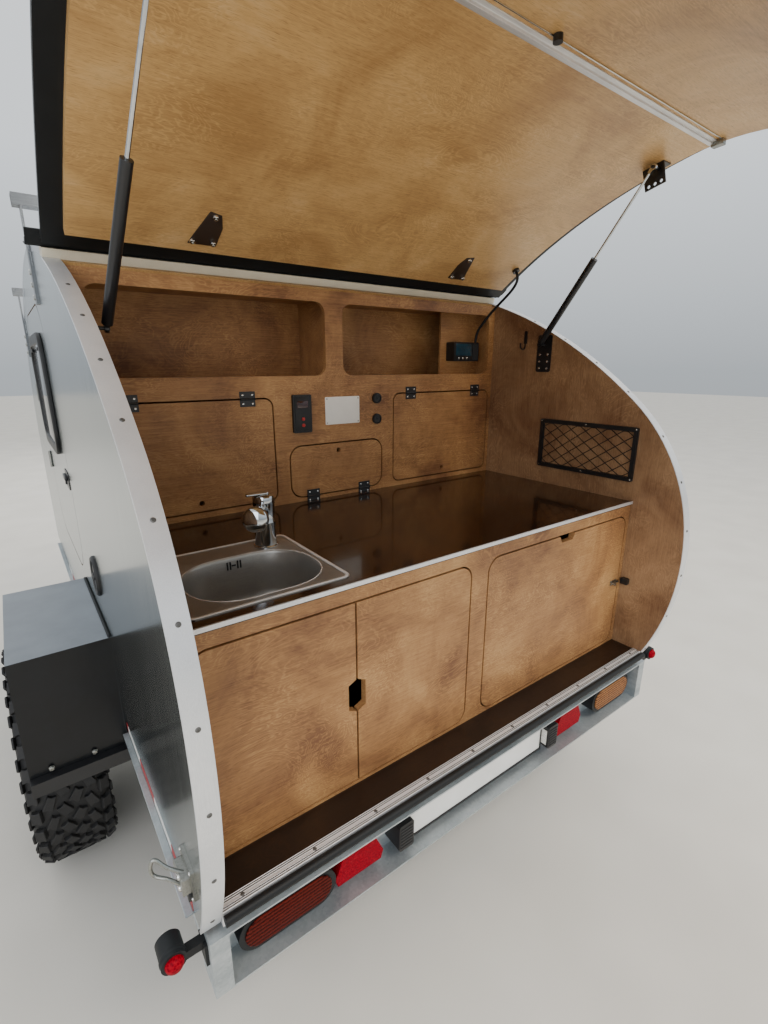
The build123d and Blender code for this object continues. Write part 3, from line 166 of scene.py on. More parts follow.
def per_metre(spacing):
    """Scale of a pattern whose spots or lines lie so many millimetres apart."""
    return 1000.0 / spacing


def drawn_out(across, lengthwise, axis):
    """Scale of a pattern with two spacings: lengthwise along one axis, 0, 1 or 2 for x, y or z."""
    scale = [per_metre(across)] * 3
    scale[axis] = per_metre(lengthwise)
    return scale


def wood(tree, place, along, share):
    """Rotary-cut birch: wavy figure lines, fibre along the grain, fine pores and cloudy stain.

    along is the grain's axis, and share is how much of the tone comes from the figure lines.
    Gives the tone, the fibre and the pores."""
    waved = add(tree, "Mapping", {"Vector": place, "Scale": drawn_out(142.9, 333.3, along)})
    hills = add(tree, "TexNoise",
                {"Vector": waved, "Scale": 1.0, "Detail": 5.0, "Roughness": 0.52, "Distortion": 0.7})
    # the contour lines of these hills lie about 6 mm apart, as the veneer's do
    many = add(tree, "Math", {0: hills, 1: 260.0}, operation="MULTIPLY")
    rings = add(tree, "Math", {0: many}, operation="SINE")
    crests = add(tree, "MapRange", {"Value": rings, "From Min": 0.1})
    # the figure fades out in places
    patches = add(tree, "TexNoise", {"Vector": place, "Scale": per_metre(153.8), "Detail": 2.0})
    showing = add(tree, "MapRange", {"Value": patches, "From Min": 0.36, "From Max": 0.62})
    figure = add(tree, "Math", {0: crests, 1: showing}, operation="MULTIPLY")
    # the fibres are coarser than the real ones, so that they show
    lengthwise = add(tree, "Mapping", {"Vector": place, "Scale": drawn_out(3.85, 111.1, along)})
    fibre = add(tree, "TexNoise", {"Vector": lengthwise, "Scale": 1.0, "Detail": 3.0})
    fine = add(tree, "Mapping", {"Vector": place, "Scale": drawn_out(1.11, 16.7, along)})
    pores = add(tree, "TexNoise", {"Vector": fine, "Scale": 1.0, "Detail": 2.0})
    cloud = add(tree, "TexNoise", {"Vector": place, "Scale": per_metre(238.1), "Detail": 5.0,
                                   "Roughness": 0.62, "Distortion": 0.6})
    a = add(tree, "Math", {0: figure, 1: share}, operation="MULTIPLY")
    b = add(tree, "Math", {0: cloud, 1: 0.70, 2: a}, operation="MULTIPLY_ADD")
    tone = add(tree, "Math", {0: fibre, 1: 0.22, 2: b}, operation="MULTIPLY_ADD")
    return tone, fibre, pores


def birch_face(tree, place, along, dark, middle, light):
    """Colour of a birch face, and its height for the bump."""
    tone, fibre, pores = wood(tree, place, along, 0.10)
    base = add(tree, "ValToRGB", {"Fac": tone}, stops=[(0.34, dark), (0.52, middle), (0.72, light)])
    holes = add(tree, "ValToRGB", {"Fac": pores}, stops=[(0.30, "#8a6a4a"), (0.44, "#ffffff")])
    shade = add(tree, "Mix", {0: 0.45, 6: base, 7: holes}, out=2, data_type="RGBA",
                blend_type="MULTIPLY")
    height = add(tree, "Math", {0: pores, 1: fibre}, operation="ADD")
    return shade, height


def birch(name, along, dark, middle, light, rough=0.50, sheen=0.03):
    """Birch plywood under a thin satin lacquer, which lets the pores show in the gloss."""
    surface = {"IOR": 1.45, "Coat Weight": sheen, "Coat Roughness": 0.34}
    material, tree, place = start(name, surface)
    shade, height = birch_face(tree, place, along, dark, middle, light)
    gloss = add(tree, "TexNoise", {"Vector": place, "Scale": per_metre(71.4)})
    satin = add(tree, "MapRange", {"Value": gloss, "To Min": rough - 0.06, "To Max": rough + 0.08})
    relief = add(tree, "Bump", {"Height": height, "Strength": 0.15, "Distance": 0.0004})
    return linked(material, shade, satin, relief)


# the galley is stained golden brown, with its grain across the trailer
stained_ply = birch("birch plywood stained, grain across", 0, "#734c2f", "#a3774a", "#c59b66")
# the hatch's lining has only clear oil, so it stays pale and takes a soft sheen
oiled_birch = birch("birch plywood oiled", 0, "#af8652", "#cfa66c", "#e2c18e", sheen=0.45)
lining_birch = birch("birch plywood oiled, roof lining", 1, "#a77d46", "#c69c60", "#d9b67f")


def filmed_ply(name, dark, light, rough, surface):
    """Dark phenolic film on plywood: the grain shows brown through a hard glossy face."""
    material, tree, place = start(name, surface)
    tone, fibre, _ = wood(tree, place, 0, 0.16)
    base = add(tree, "ValToRGB", {"Fac": tone}, stops=[(0.36, dark), (0.74, light)])
    dust = add(tree, "TexNoise",
               {"Vector": place, "Scale": per_metre(16.7), "Detail": 4.0, "Roughness": 0.65})
    wiped = add(tree, "MapRange", {"Value": dust, "To Min": rough * 0.6, "To Max": rough * 1.5})
    relief = add(tree, "Bump", {"Height": fibre, "Strength": 0.05, "Distance": 0.0003})
    return linked(material, base, wiped, relief)


worktop_ply = filmed_ply("phenolic-filmed worktop ply", "#1a0d05", "#472a12", 0.14,
                         {"IOR": 1.52, "Coat Weight": 0.35, "Coat Roughness": 0.05})
floor_ply = filmed_ply("phenolic-filmed floor ply", "#150a05", "#2c180b", 0.38,
                       {"IOR": 1.50, "Coat Weight": 0.06, "Coat Roughness": 0.2})


def metal(name, dark, light, rough, brushed=None, grain=1.11, dull=0.05, metallic=1.0):
    """Metal sheet or bar: brushed says the axis of its fine lines, and dull how cloudy it is.

    grain is the lines' spacing in millimetres, coarser than the real one, so that they show."""
    material, tree, place = start(name, {"Metallic": metallic})
    # a brushed line is 60 times as long as it is wide
    long = grain if brushed is None else 60 * grain
    drawn = add(tree, "Mapping", {"Vector": place, "Scale": drawn_out(grain, long, brushed or 0)})
    lines = add(tree, "TexNoise", {"Vector": drawn, "Scale": 1.0, "Detail": 3.0, "Roughness": 0.6})
    spots = add(tree, "TexNoise",
                {"Vector": place, "Scale": per_metre(142.9), "Detail": 4.0, "Roughness": 0.6})
    both = add(tree, "Math", {0: lines, 1: spots}, operation="ADD")
    both = add(tree, "Math", {0: both, 1: 0.5}, operation="MULTIPLY")
    base = add(tree, "ValToRGB", {"Fac": both}, stops=[(0.32, dark), (0.68, light)])
    satin = add(tree, "MapRange", {"Value": both, "To Min": rough - dull, "To Max": rough + dull})
    relief = add(tree, "Bump", {"Height": lines, "Strength": 0.06, "Distance": 0.0002})
    return linked(material, base, satin, relief)


# drawn bars keep fine lines along their length, which stretch their highlights, and anodising
# scatters the light, so it isn't fully metallic
anodised = metal("anodised aluminium trim", "#d2d4d6", "#edeeef", 0.42, brushed=2, grain=0.83, metallic=0.6)
sill_aluminium = metal("anodised aluminium sill", "#cfd0d1", "#f0efee", 0.44, brushed=0, grain=0.71,
                       metallic=0.6)
# rolled sheet has faint mill lines across soft highlights, and the roof bars have gone grey
sheet_aluminium = metal("aluminium roof sheet", "#a8abae", "#c8cacc", 0.30, brushed=1, grain=1.43)
bar_aluminium = metal("anodised aluminium roof bar", "#6a6d70", "#8b8e91", 0.36, brushed=0)
# brushed steel is a soft grey, and the sink's pressed edges take a painted highlight: a near-white,
# half-metallic steel
stainless = metal("brushed stainless steel", "#8e8c87", "#b3b0a9", 0.36, brushed=0, grain=0.625,
                  metallic=0.7)
highlight_steel = metal("stainless steel, painted edge highlight", "#e4e3df", "#f6f5f2", 0.26, metallic=0.35)
# chrome mirrors what is around it, and zinc plate is cloudy and a little yellow
chrome = metal("chrome plate", "#a9acae", "#cdd0d2", 0.06, grain=25.0, dull=0.02)
zinc = metal("zinc-plated steel", "#7d7e7b", "#abaca6", 0.30, grain=3.85, dull=0.09)
# bolts glint, while the trims' old screws are dull
bolt_steel = metal("stainless steel bolt", "#bdbdb9", "#dcdcd8", 0.22, grain=1.67, dull=0.06)
screw_steel = metal("dull screw steel", "#4d4c4a", "#6f6e6b", 0.42, grain=1.67, dull=0.06, metallic=0.5)


def galvanised_steel():
    """Hot-dip galvanised steel: a soft pale grey with faint zinc spangle and run marks."""
    material, tree, place = start("hot-dip galvanised steel", {"Metallic": 0.8})
    spangle = add(tree, "TexVoronoi", {"Vector": place, "Scale": per_metre(6.25)}, out="Color")
    grey = add(tree, "RGBToBW", {"Color": spangle})
    runs = add(tree, "Mapping", {"Vector": place, "Scale": drawn_out(166.7, 35.7, 2)})
    stain = add(tree, "TexNoise", {"Vector": runs, "Scale": 1.0, "Detail": 5.0, "Roughness": 0.6})
    a = add(tree, "Math", {0: grey, 1: 0.14}, operation="MULTIPLY")
    both = add(tree, "Math", {0: stain, 1: 0.86, 2: a}, operation="MULTIPLY_ADD")
    base = add(tree, "ValToRGB", {"Fac": both},
               stops=[(0.30, "#98a1a6"), (0.52, "#b4bbbe"), (0.74, "#c9cecf")])
    dull = add(tree, "MapRange", {"Value": both, "To Min": 0.46, "To Max": 0.62})
    relief = add(tree, "Bump", {"Height": both, "Strength": 0.06, "Distance": 0.0005})
    return linked(material, base, dull, relief)


galvanised = galvanised_steel()


def wall_panel():
    """Side wall: polished aluminium sheet outside, and stained birch ply on its inner face."""
    material, tree, place = start("polished aluminium over birch ply")
    base, height = birch_face(tree, place, 2, "#6b4930", "#917050", "#ad8a66")
    # the polish has long upright rub marks and a faint haze of dust
    rubbed = add(tree, "Mapping", {"Vector": place, "Scale": drawn_out(11.1, 250.0, 2)})
    rub = add(tree, "TexNoise", {"Vector": rubbed, "Scale": 1.0, "Detail": 3.0})
    haze = add(tree, "TexNoise", {"Vector": place, "Scale": per_metre(285.7), "Detail": 4.0})
    both = add(tree, "Math", {0: rub, 1: haze}, operation="ADD")
    both = add(tree, "Math", {0: both, 1: 0.5}, operation="MULTIPLY")
    silver = add(tree, "ValToRGB", {"Fac": both}, stops=[(0.34, "#8d9495"), (0.66, "#aab0b0")])
    x = add(tree, "SeparateXYZ", {"Vector": place}, out="X")
    far = add(tree, "Math", {0: x}, operation="ABSOLUTE")
    outside = add(tree, "Math", {0: far, 1: SHEET_FACE / 1000}, operation="GREATER_THAN")
    skin = add(tree, "Mix", {0: outside, 6: base, 7: silver}, out=2, data_type="RGBA")
    tree.links.new(outside, tree.nodes["Principled BSDF"].inputs["Metallic"])
    polish = add(tree, "MapRange", {"Value": both, "To Min": 0.14, "To Max": 0.24})
    rough = add(tree, "Mix", {0: outside, 2: 0.45, 3: polish})
    relief = add(tree, "Bump", {"Height": height, "Strength": 0.05, "Distance": 0.0003})
    return linked(material, skin, rough, relief)


wall_sheet = wall_panel()


def coated(name, dark, light, rough, grain, relief, surface=None, dusty=None, sky_sheen=None):
    """Painted, powder-coated or moulded face with a fine grain and small differences in gloss.

    grain is the width of its fine bumps in millimetres, coarser than the real one, so that they
    show. dusty is the colour of specks all over, and the next colour is a painted sky reflection on what
    looks up."""
    material, tree, place = start(name, surface)
    fine = add(tree, "TexNoise", {"Vector": place, "Scale": per_metre(grain), "Detail": 2.0})
    broad = add(tree, "TexNoise", {"Vector": place, "Scale": per_metre(83.3), "Detail": 4.0})
    a = add(tree, "Math", {0: fine, 1: 0.4}, operation="MULTIPLY")
    both = add(tree, "Math", {0: broad, 1: 0.6, 2: a}, operation="MULTIPLY_ADD")
    base = add(tree, "ValToRGB", {"Fac": both}, stops=[(0.32, dark), (0.70, light)])
    if dusty:
        specks = add(tree, "TexNoise", {"Vector": place, "Scale": per_metre(26.3), "Detail": 6.0})
        dust = add(tree, "ValToRGB", {"Fac": specks}, stops=[(0.50, "#000000"), (0.72, dusty)])
        base = add(tree, "Mix", {0: 0.6, 6: base, 7: dust}, out=2, data_type="RGBA",
                   blend_type="ADD")
    # painted sky reflection: faces that look up are mixed, in patches, towards a pale bluish grey
    if sky_sheen:
        normal = add(tree, "NewGeometry", out="Normal")
        tilt = add(tree, "SeparateXYZ", {"Vector": normal}, out="Z")
        lying = add(tree, "MapRange", {"Value": tilt, "From Min": 0.80, "From Max": 0.99})
        thin = add(tree, "MapRange", {"Value": broad, "To Min": 0.38, "To Max": 0.66})
        painted_sheen_mask = add(tree, "Math", {0: thin, 1: lying}, operation="MULTIPLY")
        base = add(tree, "Mix", {0: painted_sheen_mask, 6: base, 7: colour(sky_sheen)}, out=2, data_type="RGBA")
    gloss = add(tree, "MapRange", {"Value": both, "To Min": rough - 0.06, "To Max": rough + 0.10})
    bumpy = add(tree, "Bump", {"Height": fine, "Strength": relief, "Distance": 0.0002})
    return linked(material, base, gloss, bumpy)


# powder coat has a fine orange peel that breaks up its highlights, and the fenders get faint dust specks and
# a painted sky reflection, pale bluish grey, on what looks up
black_powder = coated("black powder-coated steel", "#0c0c0e", "#1b1c1f", 0.38, 0.77, 0.30,
                      {"Coat Weight": 0.15})
fender_steel = coated("black powder-coated fender sheet", "#060708", "#0d0f12", 0.30, 1.11, 0.22,
                      {"IOR": 1.36, "Coat Weight": 0.12, "Coat Roughness": 0.16}, dusty="#06080a",
                      sky_sheen="#a9b2bb")
bronze_powder = coated("brown-black powder-coated plate", "#2a201a", "#3b2e26", 0.42, 0.77, 0.30)
# moulded plastic has a fine etched grain, and rubber is duller and bluer, or dusty on the tyres
black_plastic = coated("black moulded ABS", "#0d0d0e", "#1a1a1b", 0.42, 0.67, 0.35)
black_rubber = coated("black EPDM rubber", "#0e1011", "#1a1d1f", 0.52, 1.25, 0.4,
                      {"Specular IOR Level": 0.32})
tyre_rubber = coated("tyre rubber", "#111112", "#212121", 0.66, 2.0, 0.5, dusty="#1b1713")
# wet paint dries smooth and glossy, without the orange peel
wheel_paint = coated("black painted steel wheel", "#0c0d0e", "#1c1d1f", 0.34, 1.11, 0.2,
                     {"Coat Weight": 0.25})
# plates, edging and tapes: an even satin face with a grain too fine to see from afar
plate_paint = coated("white retroreflective plate sheet", "#dededa", "#eeeeea", 0.34, 0.56, 0.3)
label_plate = coated("white anodised label plate", "#dcd9d0", "#ebe8e0", 0.36, 1.11, 0.1)
cream_edging = coated("cream PVC edging", "#cfc6ae", "#e2d9c2", 0.40, 1.11, 0.15)
white_tape = coated("white reflective tape", "#d8d8d4", "#e8e8e4", 0.35, 0.67, 0.2)
red_tape = coated("red reflective tape", "#9c1218", "#b71d22", 0.35, 0.67, 0.2)
# braided cord is rough and takes no shine, and the dark fill below is painted shade for the sill's grooves,
# the overflow's slots and the drain
cord_black = coated("black braided cord", "#0b0b0c", "#19191a", 0.70, 0.83, 0.8)
recess_shade = coated("dark fill, painted shade in recesses", "#060606", "#0d0d0d", 0.6, 1.11, 0.2)
# displays are dark glass with a sharp highlight
blue_display = coated("blue display glass", "#0c2430", "#1b4a5c", 0.12, 3.33, 0.02, {"Coat Weight": 0.4})
red_display = coated("dark red display glass", "#240809", "#3d1012", 0.12, 3.33, 0.02, {"Coat Weight": 0.4})
red_button = coated("red moulded button", "#8e1512", "#b3201b", 0.35, 1.11, 0.2)


def lens(name, code, glow, rough, cells, strength, stripes=0.0):
    """Moulded prismatic lens: clear colour over small facets, with flutes if it has stripes.

    cells and stripes are their spacings in millimetres."""
    surface = {"IOR": 1.49, "Specular IOR Level": 0.05}
    material, tree, place = start(name, surface)
    facets = add(tree, "TexVoronoi", {"Vector": place, "Scale": per_metre(cells)}, distance="CHEBYCHEV")
    height = facets
    if stripes:
        z = add(tree, "SeparateXYZ", {"Vector": place}, out="Z")
        steps = add(tree, "Math", {0: z, 1: 2 * math.pi * per_metre(stripes)}, operation="MULTIPLY")
        wave = add(tree, "Math", {0: steps}, operation="SINE")
        height = add(tree, "Math", {0: wave, 1: 0.35, 2: facets}, operation="MULTIPLY_ADD")
    base = add(tree, "ValToRGB", {"Fac": height}, stops=[(0.05, code), (0.75, glow)])
    gloss = add(tree, "MapRange", {"Value": facets, "To Min": rough, "To Max": rough + 0.15})
    relief = add(tree, "Bump", {"Height": height, "Strength": strength, "Distance": 0.0015})
    return linked(material, base, gloss, relief)


# the lenses scatter the light in small cells, and the lamps' flutes draw fine level lines
red_prism = lens("red prismatic reflector", "#5e000f", "#a3041f", 0.34, 4.35, 0.35)
lamp_red = lens("red lamp lens", "#230806", "#5b1b13", 0.34, 3.85, 0.3, stripes=9.0)
lamp_amber = lens("amber lamp lens", "#45271a", "#9c6c45", 0.34, 5.26, 0.4, stripes=9.0)
lamp_clear = lens("clear lamp lens", "#b9b6ae", "#e6e3da", 0.14, 4.17, 0.4)


def tinted_acrylic():
    """Grey tinted acrylic, slightly wavy, as in a hinged camper window."""
    material, tree, place = start("grey tinted acrylic", {"IOR": 1.49, "Transmission Weight": 0.75})
    wave = add(tree, "TexNoise", {"Vector": place, "Scale": per_metre(250.0), "Detail": 1.0})
    base = add(tree, "ValToRGB", {"Fac": wave}, stops=[(0.3, "#3c4144"), (0.7, "#484d50")])
    clean = add(tree, "MapRange", {"Value": wave, "To Min": 0.03, "To Max": 0.07})
    relief = add(tree, "Bump", {"Height": wave, "Strength": 0.04, "Distance": 0.002})
    return linked(material, base, clean, relief)


acrylic = tinted_acrylic()


def woven_cover(name, dark, light, pitch):
    """Woven cotton cover: two sets of threads that cross, pitch millimetres apart."""
    material, tree, place = start(name, {"Sheen Weight": 0.3})
    # a wave texture of scale 1 repeats every 314 mm
    waves = {"Vector": place, "Scale": 314.16 / pitch, "Distortion": 0.6}
    warp = add(tree, "TexWave", waves, out="Fac", bands_direction="X")
    weft = add(tree, "TexWave", waves, out="Fac", bands_direction="Y")
    weave = add(tree, "Math", {0: warp, 1: weft}, operation="MULTIPLY")
    slub = add(tree, "TexNoise", {"Vector": place, "Scale": per_metre(45.5), "Detail": 4.0})
    both = add(tree, "Math", {0: weave, 1: slub}, operation="ADD")
    base = add(tree, "ValToRGB", {"Fac": both}, stops=[(0.35, dark), (1.0, light)])
    nap = add(tree, "MapRange", {"Value": slub, "To Min": 0.78, "To Max": 0.92})
    relief = add(tree, "Bump", {"Height": weave, "Strength": 0.35, "Distance": 0.0006})
    return linked(material, base, nap, relief)


# the real thread is finer; 6 mm still shows from the cabin door
mattress_cloth = woven_cover("woven cotton mattress cover", "#8d8b83", "#b9b6ac", 5.92)

# Materials of the CAD nodes
FINISH = [
    (galvanised, "chassis_frame drawbar lamp_beam axle"),
    (wall_sheet, "side_wall_left side_wall_right door_left door_right"),
    (sheet_aluminium, "roof_panel hatch_skin"),
    (anodised, "edge_trims"),
    (bar_aluminium, "roof_bars"),
    (stained_ply, "bulkhead galley_carcass cabinet_face lower_door_left lower_door_centre lower_flap"),
    (stained_ply, "upper_flap_left upper_flap_centre upper_flap_right"),
    (oiled_birch, "hatch_core"),
    (lining_birch, "roof_lining"),
    (worktop_ply, "counter"),
    (floor_ply, "floor"),
    (cream_edging, "roof_header"),
    (stainless, "sink"),
    (chrome, "tap strut_rod_left strut_rod_right"),
    (zinc, "side_hardware coupling_head jockey_tube jockey_leg"),
    (fender_steel, "fenders"),
    (black_powder, "fender_bars galley_hardware hatch_fittings strut_tube_left strut_tube_right"),
    (wheel_paint, "wheel_left wheel_right"),
    (black_plastic, "galley_controls lamp_holders"),
    (black_rubber, "roof_hinge_rail sill_roll hatch_cable hatch_seal hatch_hinge_leaf"),
    (black_rubber, "rear_lamps marker_lamps jockey_wheel"),
    (tyre_rubber, "tyre_left tyre_right"),
    (red_prism, "reflectors"),
    (plate_paint, "number_plate"),
    (acrylic, "door_window_left door_window_right"),
    (cord_black, "pocket_net"),
    (mattress_cloth, "mattress"),
]
for material, names in FINISH:
    for name in names.split():
        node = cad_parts[name]
        if not node.material_slots:
            node.data.materials.append(material)
        for held in node.material_slots:
            held.material = material


# Modelling steps
def only(*pieces):
    """Selects these pieces and nothing else, with the last one active."""
    bpy.ops.object.select_all(action="DESELECT")
    for piece in pieces:
        piece.select_set(True)
    bpy.context.view_layer.objects.active = pieces[-1]


def fresh(primitive, **settings):
    """Adds a primitive with nothing else selected, and leaves its place in its mesh."""
    bpy.ops.object.select_all(action="DESELECT")
    primitive(**settings)
    bpy.ops.object.transform_apply()
    return bpy.context.object


def open_mesh(piece):
    """Edit mode on one piece, with all of it selected."""
    only(piece)
    bpy.ops.object.mode_set(mode="EDIT")
    bpy.ops.mesh.select_all(action="SELECT")


def close_mesh():
    """Back to object mode, with the faces pointing outwards."""
    bpy.ops.mesh.select_all(action="SELECT")
    bpy.ops.mesh.normals_make_consistent(inside=False)
    bpy.ops.object.mode_set(mode="OBJECT")


def pick_edges(test):
    """In edit mode, selects the edges whose middle passes the test."""
    bpy.ops.mesh.select_mode(type="EDGE")
    bpy.ops.mesh.select_all(action="DESELECT")
    mesh = bmesh.from_edit_mesh(bpy.context.edit_object.data)
    for edge in mesh.edges:
        if test((edge.verts[0].co + edge.verts[1].co) / 2):
            edge.select_set(True)
    bmesh.update_edit_mesh(bpy.context.edit_object.data)


def refined(piece, kind, **settings):
    """Adds one modifier with its settings and applies it."""
    only(piece)
    modifier = piece.modifiers.new(kind.lower(), kind)
    for name, value in settings.items():
        setattr(modifier, name, value)
    bpy.ops.object.modifier_apply(modifier=modifier.name)
    return piece


def softened(piece, edge, segments=2):
    """Rounds the sharp edges by a number of millimetres."""
    return refined(piece, "BEVEL", width=edge / 1000, segments=segments, limit_method="ANGLE")


def put(piece, place):
    """Moves a piece that was made at the origin to its place, and leaves that in its mesh."""
    piece.matrix_world = place @ piece.matrix_world
    only(piece)
    bpy.ops.object.transform_apply()
    return piece


def bar(low, high, edge=1.0, segments=2):
    """Straight bar between two corners, with its edges rounded."""
    a, b = spot(*low), spot(*high)
    piece = fresh(bpy.ops.mesh.primitive_cube_add, size=1.0, location=(a + b) / 2, scale=b - a)
    return softened(piece, edge, segments)


def rounded(wide, tall, radius, steps=5):
    """Outline of a rounded rectangle about the origin, in millimetres."""
    points = []
    for quarter, (sx, sy) in enumerate(((1, 1), (-1, 1), (-1, -1), (1, -1))):
        for i in range(steps + 1):
            turn = math.radians(90 * (quarter + i / steps))
            x = sx * (wide / 2 - radius) + radius * math.cos(turn)
            points.append((x, sy * (tall / 2 - radius) + radius * math.sin(turn)))
    return points


def sheet_of(outline):
    """Flat face of an outline in millimetres, in the plane z = 0."""
    piece = fresh(bpy.ops.mesh.primitive_circle_add, vertices=len(outline), radius=0.1, fill_type="NGON")
    for vert, (x, y) in zip(piece.data.vertices, outline):
        vert.co = (x / 1000, y / 1000, 0.0)
    return piece


def slab(outline, thick, edge=0.0, segments=2):
    """Plate of an outline, thick millimetres upwards from z = 0, with its edges rounded."""
    piece = sheet_of(outline)
    open_mesh(piece)
    bpy.ops.mesh.extrude_region_move(TRANSFORM_OT_translate={"value": (0.0, 0.0, thick / 1000)})
    close_mesh()
    return softened(piece, edge, segments) if edge else piece


def bridged(outer, inner):
    """Flat faces between two outlines of the same number of points, still in edit mode."""
    piece = together(sheet_of(outer), sheet_of(inner))
    open_mesh(piece)
    bpy.ops.mesh.delete(type="ONLY_FACE")
    bpy.ops.mesh.select_mode(type="EDGE")
    bpy.ops.mesh.select_all(action="SELECT")
    bpy.ops.mesh.bridge_edge_loops()
    return piece


def frame_of(outer, inner, thick):
    """Flat frame between two outlines, thick millimetres up from z = 0."""
    piece = bridged(outer, inner)
    bpy.ops.mesh.select_all(action="SELECT")
    bpy.ops.mesh.extrude_region_move(TRANSFORM_OT_translate={"value": (0.0, 0.0, thick / 1000)})
    close_mesh()
    return piece


def turned(points, sides=32, closed=False):
    """Piece turned about z from (radius, height) points in millimetres, first to last.

    With closed the points are a loop, which gives a ring."""
    radius, height = points[0]
    piece = fresh(bpy.ops.mesh.primitive_circle_add, vertices=sides, radius=radius / 1000,
                  fill_type="NOTHING" if closed else "NGON", location=(0.0, 0.0, height / 1000))
    open_mesh(piece)
    for after, up in points[1:] + points[:closed]:
        bpy.ops.mesh.extrude_region_move(TRANSFORM_OT_translate={"value": (0.0, 0.0, (up - height) / 1000)})
        bpy.ops.transform.resize(value=(after / radius, after / radius, 1.0),
                                 center_override=(0.0, 0.0, up / 1000))
        radius, height = after, up
    if closed:
        bpy.ops.mesh.select_all(action="SELECT")
        bpy.ops.mesh.remove_doubles(threshold=0.00002)
    close_mesh()
    return piece


def facing(place, out, across=(1.0, 0.0, 0.0)):
    """Matrix that stands a piece made at the origin on a place, with its z turned outwards."""
    z = Vector(out).normalized()
    x = Vector(across).normalized()
    return Matrix.Translation(place) @ Matrix((x, z.cross(x), z)).transposed().to_4x4()


def rearward(x, y, z):
    """On a face that looks to the rear: x stays, and the piece's y points up."""
    return facing(spot(x, y, z), (0, -1, 0))


def forward(x, y, z):
    """On a face that looks to the front: the piece's y points up."""
    return facing(spot(x, y, z), (0, 1, 0), (-1, 0, 0))


def upward(x, y, z):
    """On a face that looks up: x and y stay."""
    return facing(spot(x, y, z), (0, 0, 1))


def sideways(side, x, y, z):
    """On a face that looks to one side: the piece's y points up."""
    return facing(spot(x, y, z), (side, 0, 0), (0, side, 0))


def on_edge(x, heading, lift=0.0):
    """On the body's curved rear edge at a heading, with z out of it."""
    y, z = rim(heading, -lift)
    turn = math.radians(heading)
    return facing(spot(x, y, z), (0, -math.cos(turn), math.sin(turn)))


def on_lining(x, heading, lift=0.0):
    """On the open hatch's inner face at a heading: z leaves the face, and y points to its foot."""
    y, z = rim(heading, CORE_IN + lift)
    turn = math.radians(heading)
    closed = facing(spot(x, y, z), (0, math.cos(turn), -math.sin(turn)))
    swing = Matrix.Translation(HINGE) @ Matrix.Rotation(math.radians(-HATCH_OPEN), 4, "X")
    return swing @ Matrix.Translation(-HINGE) @ closed


def repeat(piece, places):
    """A copy of the piece, with its own mesh, at each place, all joined."""
    made = []
    for place in places:
        copy = piece.copy()
        copy.data = piece.data.copy()
        copy.data.transform(place)
        bpy.context.collection.objects.link(copy)
        made.append(copy)
    bpy.data.objects.remove(piece)
    return together(*made)


def together(*pieces):
    """Joins pieces into the last one."""
    only(*pieces)
    if len(pieces) > 1:
        bpy.ops.object.join()
    return bpy.context.object


def finished(piece, name, material, body="trailer", smooth=35.0):
    """Names a finished piece, shades and paints it, and gives it its body.

    The body is None for a piece that is left without one."""
    only(piece)
    bpy.ops.object.transform_apply()
    bpy.ops.object.shade_smooth_by_angle(angle=math.radians(smooth))
    piece.name = name
    piece.data.materials.clear()
    piece.data.materials.append(material)
    if body:
        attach(piece, body)
    return piece


def line_of(points, radius):
    """Curve on one NURBS spline through metres, radius metres thick."""
    curve = bpy.data.curves.new("line", "CURVE")
    curve.dimensions = "3D"
    spline = curve.splines.new("NURBS")
    spline.points.add(len(points) - 1)
    for knot, point in zip(spline.points, points):
        knot.co = (*point, 1.0)
    spline.order_u = 3
    spline.use_endpoint_u = True
    curve.bevel_depth = radius
    curve.bevel_resolution = 4
    curve.resolution_u = 8
    curve.use_fill_caps = True
    piece = bpy.data.objects.new("line", curve)
    bpy.context.collection.objects.link(piece)
    return piece


def wire(points, radius):
    """Bent wire through points in metres, radius millimetres thick, as a mesh."""
    piece = line_of(points, radius / 1000)
    only(piece)
    bpy.ops.object.convert(target="MESH")
    return bpy.context.object


def hatch_cable():
    """Cable from the hatch's gland to the charger in the right shelf."""
    # the first two points, in metres, are the gland's
    points = [Vector((0.705, -0.977515, 1.862318)), Vector((0.705, -0.987819, 1.845176))]
    # columns: distance from the wall, y, z
    hung = [(39, 636, 1259), (36, 664, 1235), (36, 700, 1209), (43, 738, 1177), (53, 772, 1139),
            (56, 813, 1093), (56, 813, 1058)]
    points += [spot(INNER_HALF - inward, y, z) for inward, y, z in hung]
    thread = line_of(points, 0.0)
    path = [tuple(v.co) for v in bpy.data.meshes.new_from_object(thread).vertices]
    bpy.data.objects.remove(thread)
    cable = wire(points, 5.0)
    finished(cable, "cable_to_hatch", black_rubber, None, 60.0)
    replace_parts(cable, "hatch_cable")
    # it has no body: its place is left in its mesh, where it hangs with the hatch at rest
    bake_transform(cable)


hatch_cable()


def bolt_head(radius, tall):
    """Dome head with a round-cornered socket in its top."""
    return turned([(radius, 0.0), (radius, 0.3 * tall), (0.86 * radius, 0.75 * tall), (0.55 * radius, tall),
                   (0.42 * radius, tall), (0.38 * radius, 0.45 * tall)], 14)


def screws(name, places, radius, tall, body="trailer", material=bolt_steel):
    """Screw heads of one size at these places, as one piece."""
    finished(repeat(bolt_head(radius, tall), places), name, material, body)


